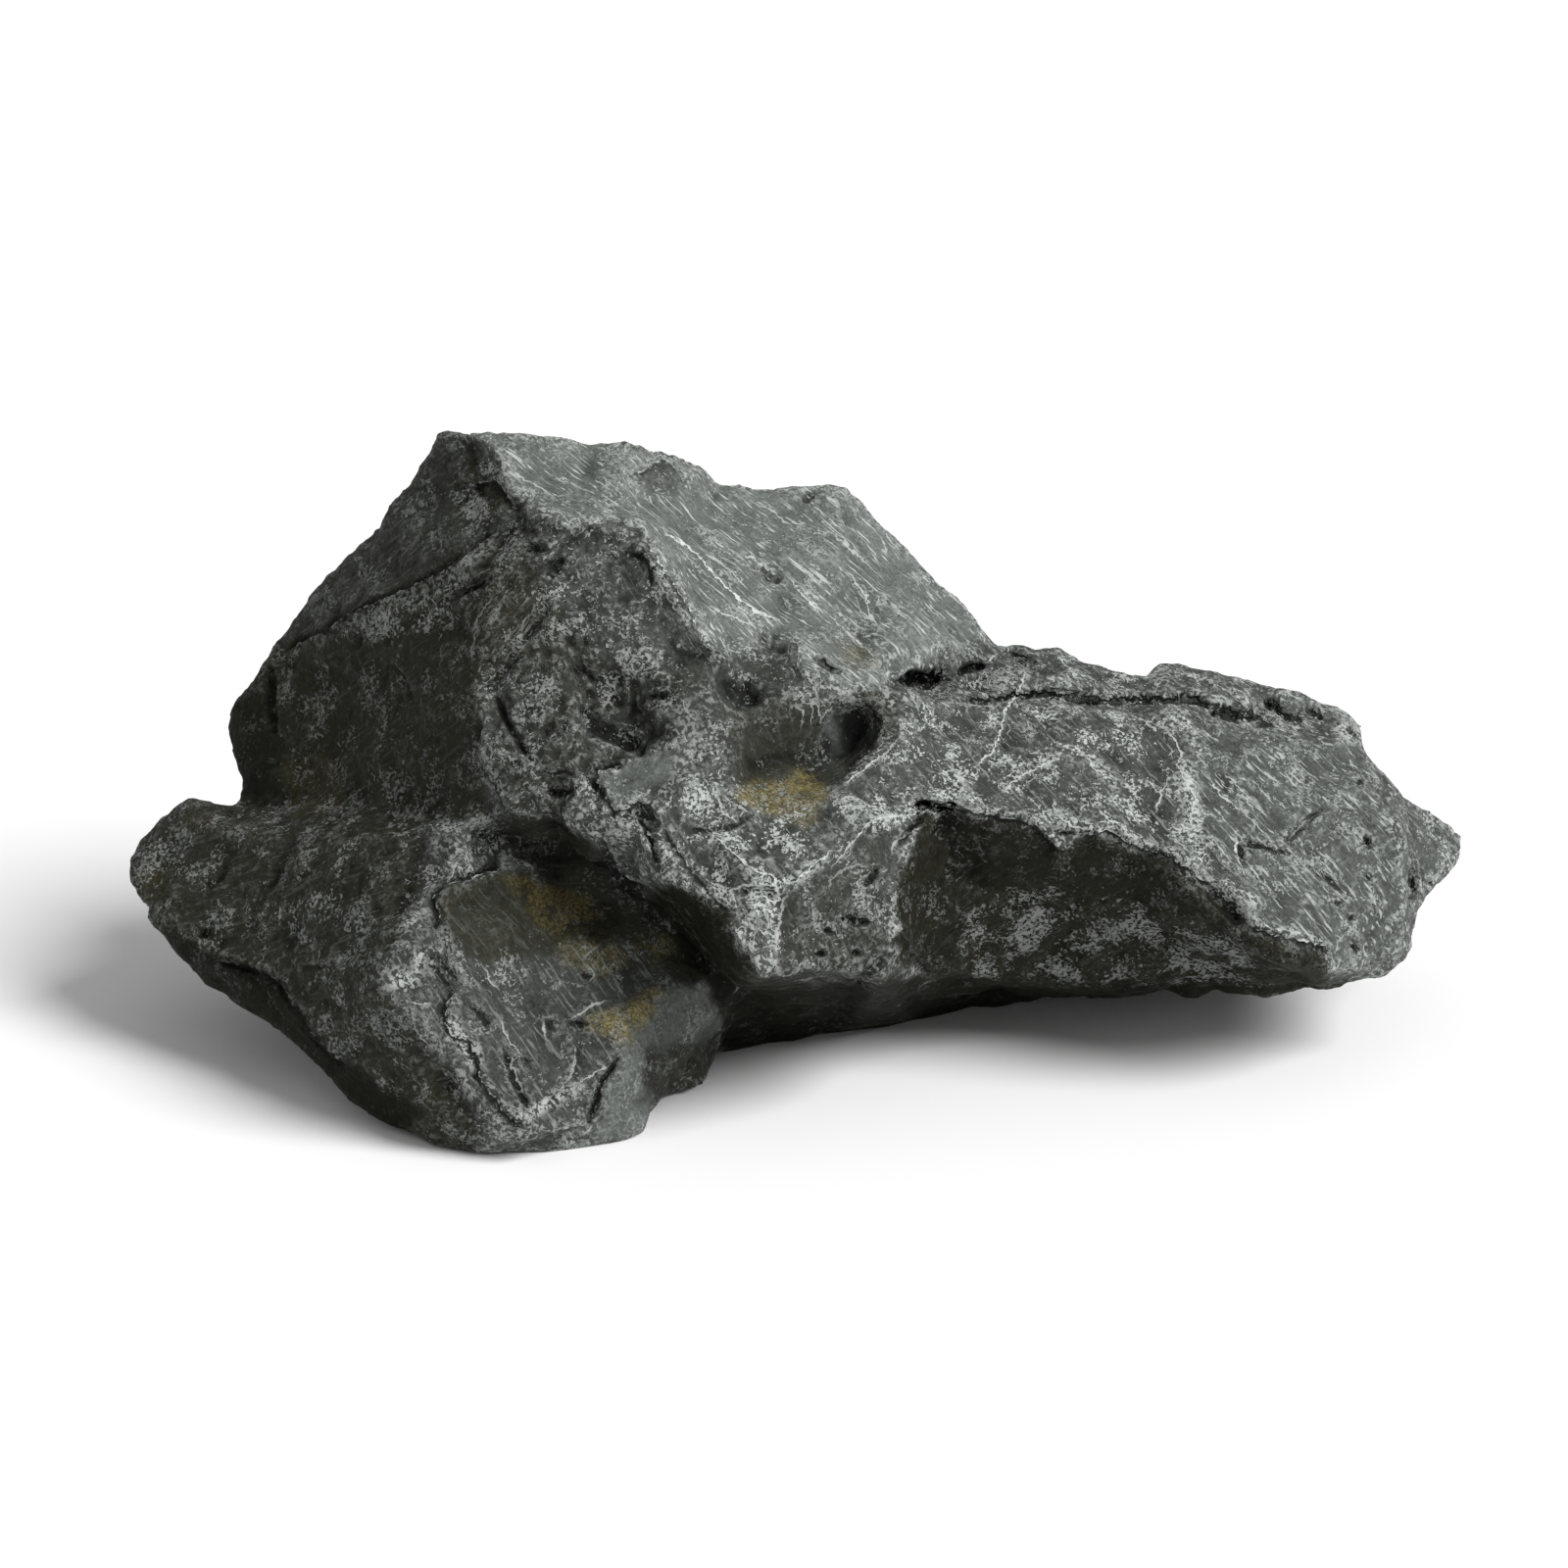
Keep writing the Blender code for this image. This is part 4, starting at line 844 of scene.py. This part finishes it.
class Nodes:
    """Short ways to add and join the nodes of a material."""

    def __init__(self, material):
        material.use_nodes = True
        self.tree = material.node_tree
        self.shader = self.tree.nodes["Principled BSDF"]

    def add(self, kind, inputs=(), **settings):
        node = self.tree.nodes.new(kind)
        for name, value in settings.items():
            setattr(node, name, value)
        for socket, value in dict(inputs).items():
            self.join(value, node.inputs[socket])
        return node

    def join(self, value, socket):
        if isinstance(value, bpy.types.NodeSocket):
            self.tree.links.new(value, socket)
        else:
            socket.default_value = value

    def attribute(self, name, output="Fac"):
        return self.add("ShaderNodeAttribute", attribute_name=name).outputs[output]

    def math(self, operation, first, second=0.0, clamp=False):
        node = self.add("ShaderNodeMath", {0: first, 1: second}, operation=operation)
        node.use_clamp = clamp
        return node.outputs[0]

    def product(self, first, *others):
        for other in others:
            first = self.math("MULTIPLY", first, other)
        return first

    def greatest(self, first, *others):
        for other in others:
            first = self.math("MAXIMUM", first, other)
        return first

    def ramp(self, value, low, high, to_low=0.0, to_high=1.0):
        inputs = {0: value, 1: low, 2: high, 3: to_low, 4: to_high}
        node = self.add("ShaderNodeMapRange", inputs, interpolation_type="SMOOTHSTEP")
        return node.outputs["Result"]

    def noise(self, vector, size, detail=3.0, roughness=0.55, distortion=0.0):
        inputs = {
            "Vector": vector, "Scale": 1 / size, "Detail": detail, "Roughness": roughness,
            "Distortion": distortion,
        }
        return self.add("ShaderNodeTexNoise", inputs).outputs["Fac"]

    def contour(self, value, half_width):
        """One where the value is near its middle, which draws winding lines."""
        away = self.math("ABSOLUTE", self.math("SUBTRACT", value, 0.5))
        return self.ramp(away, half_width, half_width * 0.5)

    def mix(self, share, first, second, blend="MIX"):
        node = self.add("ShaderNodeMix", data_type="RGBA", blend_type=blend)
        node.clamp_factor = True
        for socket, value in ((0, share), (6, first), (7, second)):
            self.join(value, node.inputs[socket])
        return node.outputs[2]

    def grey(self, value):
        return self.add("ShaderNodeCombineColor", {0: value, 1: value, 2: value}).outputs[0]

    def drawn(self, name, wobble, width):
        """Where a drawn line shows: its gap, wobbled, is under its half width in millimetres."""
        gap = self.math("ABSOLUTE", self.math("ADD", self.attribute(name + "_gap"), wobble))
        inner = self.math("MULTIPLY", width, 0.4)
        line = self.ramp(gap, width, inner)
        return self.product(line, self.attribute(name + "_strength"))


def colour(values):
    return (*values, 1.0)


def stone_material(settings):
    """Dark slate with chalky grain on its lit faces, worn edges, stains, and painted shade in
    crevices, under ledges and over the shaded regions.
    """
    material = bpy.data.materials.new("dark_stone_finish")
    nodes = Nodes(material)
    ramp, product, stored = nodes.ramp, nodes.product, nodes.attribute
    place = nodes.add("ShaderNodeTexCoord").outputs["Object"]
    slanted = stored("grain_place", "Vector")
    shade = stored("shade")
    specks = stored("specks")
    crevice_shade = stored("crevice_shade")

    mottle = ramp(nodes.noise(place, 10 * MM, 4.0, 0.6), 0.3, 0.7, 0.0, 0.6)
    brushed = ramp(nodes.noise(slanted, 1.6 * MM, 3.0, 0.6, 0.3), 0.3, 0.7, 0.0, 0.4)
    tone = nodes.math("ADD", mottle, brushed)
    bare = nodes.mix(tone, colour(settings.dark_stone), colour(settings.pale_stone))
    speckle = nodes.noise(place, 0.6 * MM, 2.0, 0.7)
    breaks = nodes.noise(place, 1.7 * MM, 2.0, 0.6)
    wobble = ramp(breaks, 0.3, 0.7, -0.5, 0.5)
    seams = nodes.drawn("seam", product(wobble, 0.9), 0.4)
    # Painted shadow on the low side of each step, darkest at its foot and fading over 2 mm
    drop = nodes.math("ADD", stored("ledge_gap"), wobble)
    under = product(
        ramp(drop, -2.0, 0.0), ramp(drop, 0.15, -0.05),
        stored("ledge_strength"),
    )
    # Dark cracks and pits together with the painted ledge shadows
    cracks_and_ledge_shadow = nodes.greatest(seams, product(under, 0.7))
    # The bare stone darkened by the region's tone and painted shade, a random speckle, the painted
    # crevice shade and the dark cracks with painted ledge shadows
    darkened = product(
        shade,
        ramp(speckle, 0.3, 0.7, 0.75, 1.25),
        ramp(crevice_shade, 0.15, 1.0, 1.0, 0.35),
        ramp(cracks_and_ledge_shadow, 0.0, 1.0, 1.0, 0.1),
    )
    # Olive tint laid over the regions painted darkest, growing as their painted shade deepens
    shadiest = ramp(shade, 0.6, 0.25, 0.0, 0.9)
    bare = nodes.mix(shadiest, bare, colour(settings.olive))
    bare = nodes.mix(1.0, bare, nodes.grey(darkened), "MULTIPLY")

    patches = ramp(nodes.noise(place, 7 * MM, 2.0, 0.5), 0.3, 0.7, -0.14, 0.14)
    amount = nodes.math("ADD", ramp(specks, 0.0, 1.2, -0.12, 0.03), patches)
    dots = nodes.math("ADD", nodes.noise(place, 0.8 * MM, 2.0, 0.6), amount)
    worms = nodes.contour(nodes.noise(place, 2.2 * MM, 2.0, 0.6, 0.8), 0.05)
    worms = product(worms, ramp(nodes.math("ADD", breaks, amount), 0.47, 0.54))
    runs = ramp(nodes.noise(place, 4 * MM, 2.0, 0.6), 0.4, 0.54, 0.25, 1.0)
    lines = ramp(nodes.noise(slanted, 0.75 * MM, 2.0, 0.5, 0.1), 0.56, 0.64)
    lines = product(lines, runs, stored("striae"))
    grains = nodes.greatest(ramp(dots, 0.56, 0.64), product(worms, 0.8))
    grains = product(grains, ramp(specks, 0.0, 0.9, 0.3, 1.0))
    grains = nodes.greatest(grains, product(lines, 0.7))
    broken = nodes.noise(place, 1.1 * MM, 3.0, 0.65, 0.6)
    # Chalk on worn edges, thinned where the region's painted shade is deep and where it has few
    # specks
    edge = product(
        stored("wear"), ramp(broken, 0.46, 0.6, 0.0, 0.85),
        ramp(shade, 0.15, 0.8, 0.3, 1.0), ramp(specks, 0.0, 0.5, 0.2, 1.0),
    )
    powder = product(stored("chalk"), ramp(broken, 0.46, 0.55))
    hair_width = ramp(broken, 0.35, 0.65, 0.15, 0.5)
    hairs = nodes.drawn("hair", product(wobble, 0.6), hair_width)
    chalk = nodes.greatest(grains, edge, powder, hairs)
    chalk = nodes.math("MULTIPLY", chalk, 0.9, clamp=True)
    chalk = product(chalk, ramp(cracks_and_ledge_shadow, 0.0, 0.8, 1.0, 0.0))
    # Chalk dimmed with the region's painted shade, so that it is grey on the faces painted dark
    pale = nodes.grey(ramp(shade, 0.1, 0.8, 0.3, 1.0))
    white = nodes.mix(1.0, colour(settings.chalk), pale, "MULTIPLY")

    clods = ramp(nodes.noise(place, 3 * MM, 4.0, 0.6), 0.3, 0.55)
    earthy = product(stored("stain"), clods)
    # Stains dimmed with a speckle and with the region's painted shade
    soil_shade = product(
        ramp(speckle, 0.38, 0.62, 0.4, 1.15), ramp(shade, 0.1, 0.7, 0.2, 1.0)
    )
    soil = nodes.mix(1.0, colour(settings.ochre), nodes.grey(soil_shade), "MULTIPLY")
    bare = nodes.mix(earthy, bare, soil)
    nodes.join(nodes.mix(chalk, bare, white), nodes.shader.inputs["Base Color"])

    nodes.join(ramp(chalk, 0.0, 0.6, 0.62, 0.9), nodes.shader.inputs["Roughness"])
    nodes.join(0.06, nodes.shader.inputs["Specular IOR Level"])

    depth = ramp(stored("rough"), 0.1, 1.2, 0.6, 1.8)
    relief = product(nodes.noise(place, 2.4 * MM, 6.0, 0.6), depth)
    relief = nodes.math("ADD", relief, product(nodes.greatest(grains, hairs), 0.6))
    relief = nodes.math("SUBTRACT", relief, product(cracks_and_ledge_shadow, 1.5))
    bump = nodes.add("ShaderNodeBump", {"Height": relief, "Distance": 0.5 * MM, "Strength": 1.0})
    nodes.join(bump.outputs["Normal"], nodes.shader.inputs["Normal"])
    return material


class ROCK_OT_dress_stone(bpy.types.Operator):
    """Make the weathered stone over the rock of the frame"""

    bl_idname = "rock.dress_stone"
    bl_label = "Dress the stone"

    def execute(self, context):
        settings = context.scene.rock_stone
        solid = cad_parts["rock"]
        piece = bpy.data.objects.new("weathered_stone", solid.data.copy())
        context.scene.collection.objects.link(piece)
        select_only(piece)
        bpy.ops.object.mode_set(mode="EDIT")
        bpy.ops.mesh.select_all(action="SELECT")
        bpy.ops.mesh.remove_doubles(threshold=MERGE_DISTANCE)
        bpy.ops.object.mode_set(mode="OBJECT")
        apply_modifier(piece, "REMESH", mode="VOXEL", voxel_size=settings.grain_size)
        apply_modifier(piece, "SMOOTH", factor=0.5, iterations=2)
        weather(piece, settings)
        paint(piece)
        apply_modifier(piece, "TRIANGULATE")
        share = settings.most_triangles / len(piece.data.polygons)
        if share < 1:
            apply_modifier(piece, "DECIMATE", ratio=share)
        piece.data.materials.clear()
        piece.data.materials.append(stone_material(settings))
        select_only(piece)
        bpy.ops.object.shade_smooth()
        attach(piece, "root")
        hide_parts("rock")
        return {"FINISHED"}


class ROCK_OT_set_studio(bpy.types.Operator):
    """Make the pale floor, the soft light and the camera"""

    bl_idname = "rock.set_studio"
    bl_label = "Set the studio"

    def execute(self, context):
        settings = context.scene.rock_studio
        bpy.ops.object.select_all(action="DESELECT")
        bpy.ops.mesh.primitive_plane_add(size=settings.floor_size, location=(0, 0, 0))
        floor = context.active_object
        floor.name = "studio_floor"
        pale = bpy.data.materials.new("studio_pale")
        pale.use_nodes = True
        shader = pale.node_tree.nodes["Principled BSDF"]
        shader.inputs["Base Color"].default_value = colour(settings.floor_colour)
        shader.inputs["Roughness"].default_value = 0.9
        shader.inputs["Specular IOR Level"].default_value = 0.1
        floor.data.materials.append(pale)

        bpy.ops.object.light_add(type="SUN", location=(1, -0.6, 1))
        key = context.active_object
        key.name = "key_light"
        key.data.energy = settings.key_strength
        key.data.angle = KEY_ANGLE
        key.rotation_euler = KEY_COURSE.to_track_quat("-Z", "Y").to_euler()

        world = bpy.data.worlds.new("studio_world")
        world.use_nodes = True
        background = world.node_tree.nodes["Background"]
        background.inputs["Color"].default_value = (1, 1, 1, 1)
        background.inputs["Strength"].default_value = settings.sky_strength
        context.scene.world = world

        bpy.ops.object.camera_add(location=LOOKED_AT + NEAR * SIGHT_DISTANCE)
        camera = context.active_object
        camera.name = "photo_camera"
        camera.rotation_euler = (math.pi / 2 - SIGHT_TILT, 0, 0)
        camera.data.sensor_width = SENSOR_WIDTH
        camera.data.lens = SENSOR_WIDTH * SIGHT_DISTANCE / SIGHT_WIDTH
        context.scene.camera = camera
        context.scene.view_settings.view_transform = "Standard"
        return {"FINISHED"}


class ROCK_PT_panel(bpy.types.Panel):
    """Lists the steps that dress the rock"""

    bl_idname = "ROCK_PT_panel"
    bl_label = "Rough rock"
    bl_space_type = "VIEW_3D"
    bl_region_type = "UI"
    bl_category = "Rough rock"

    def draw(self, context):
        for group in (context.scene.rock_stone, context.scene.rock_studio):
            for name in group.__annotations__:
                self.layout.prop(group, name)
        for operator in OPERATORS:
            self.layout.operator(operator.bl_idname)


SETTINGS = {"rock_stone": StoneSettings, "rock_studio": StudioSettings}
OPERATORS = (ROCK_OT_dress_stone, ROCK_OT_set_studio)


def register():
    for name, group in SETTINGS.items():
        bpy.utils.register_class(group)
        setattr(bpy.types.Scene, name, bpy.props.PointerProperty(type=group))
    for part in (*OPERATORS, ROCK_PT_panel):
        bpy.utils.register_class(part)


def unregister():
    for part in (ROCK_PT_panel, *reversed(OPERATORS)):
        bpy.utils.unregister_class(part)
    for name, group in SETTINGS.items():
        delattr(bpy.types.Scene, name)
        bpy.utils.unregister_class(group)


def main():
    register()
    bpy.ops.rock.set_studio()
    bpy.ops.rock.dress_stone()


if __name__ == "__main__":
    main()
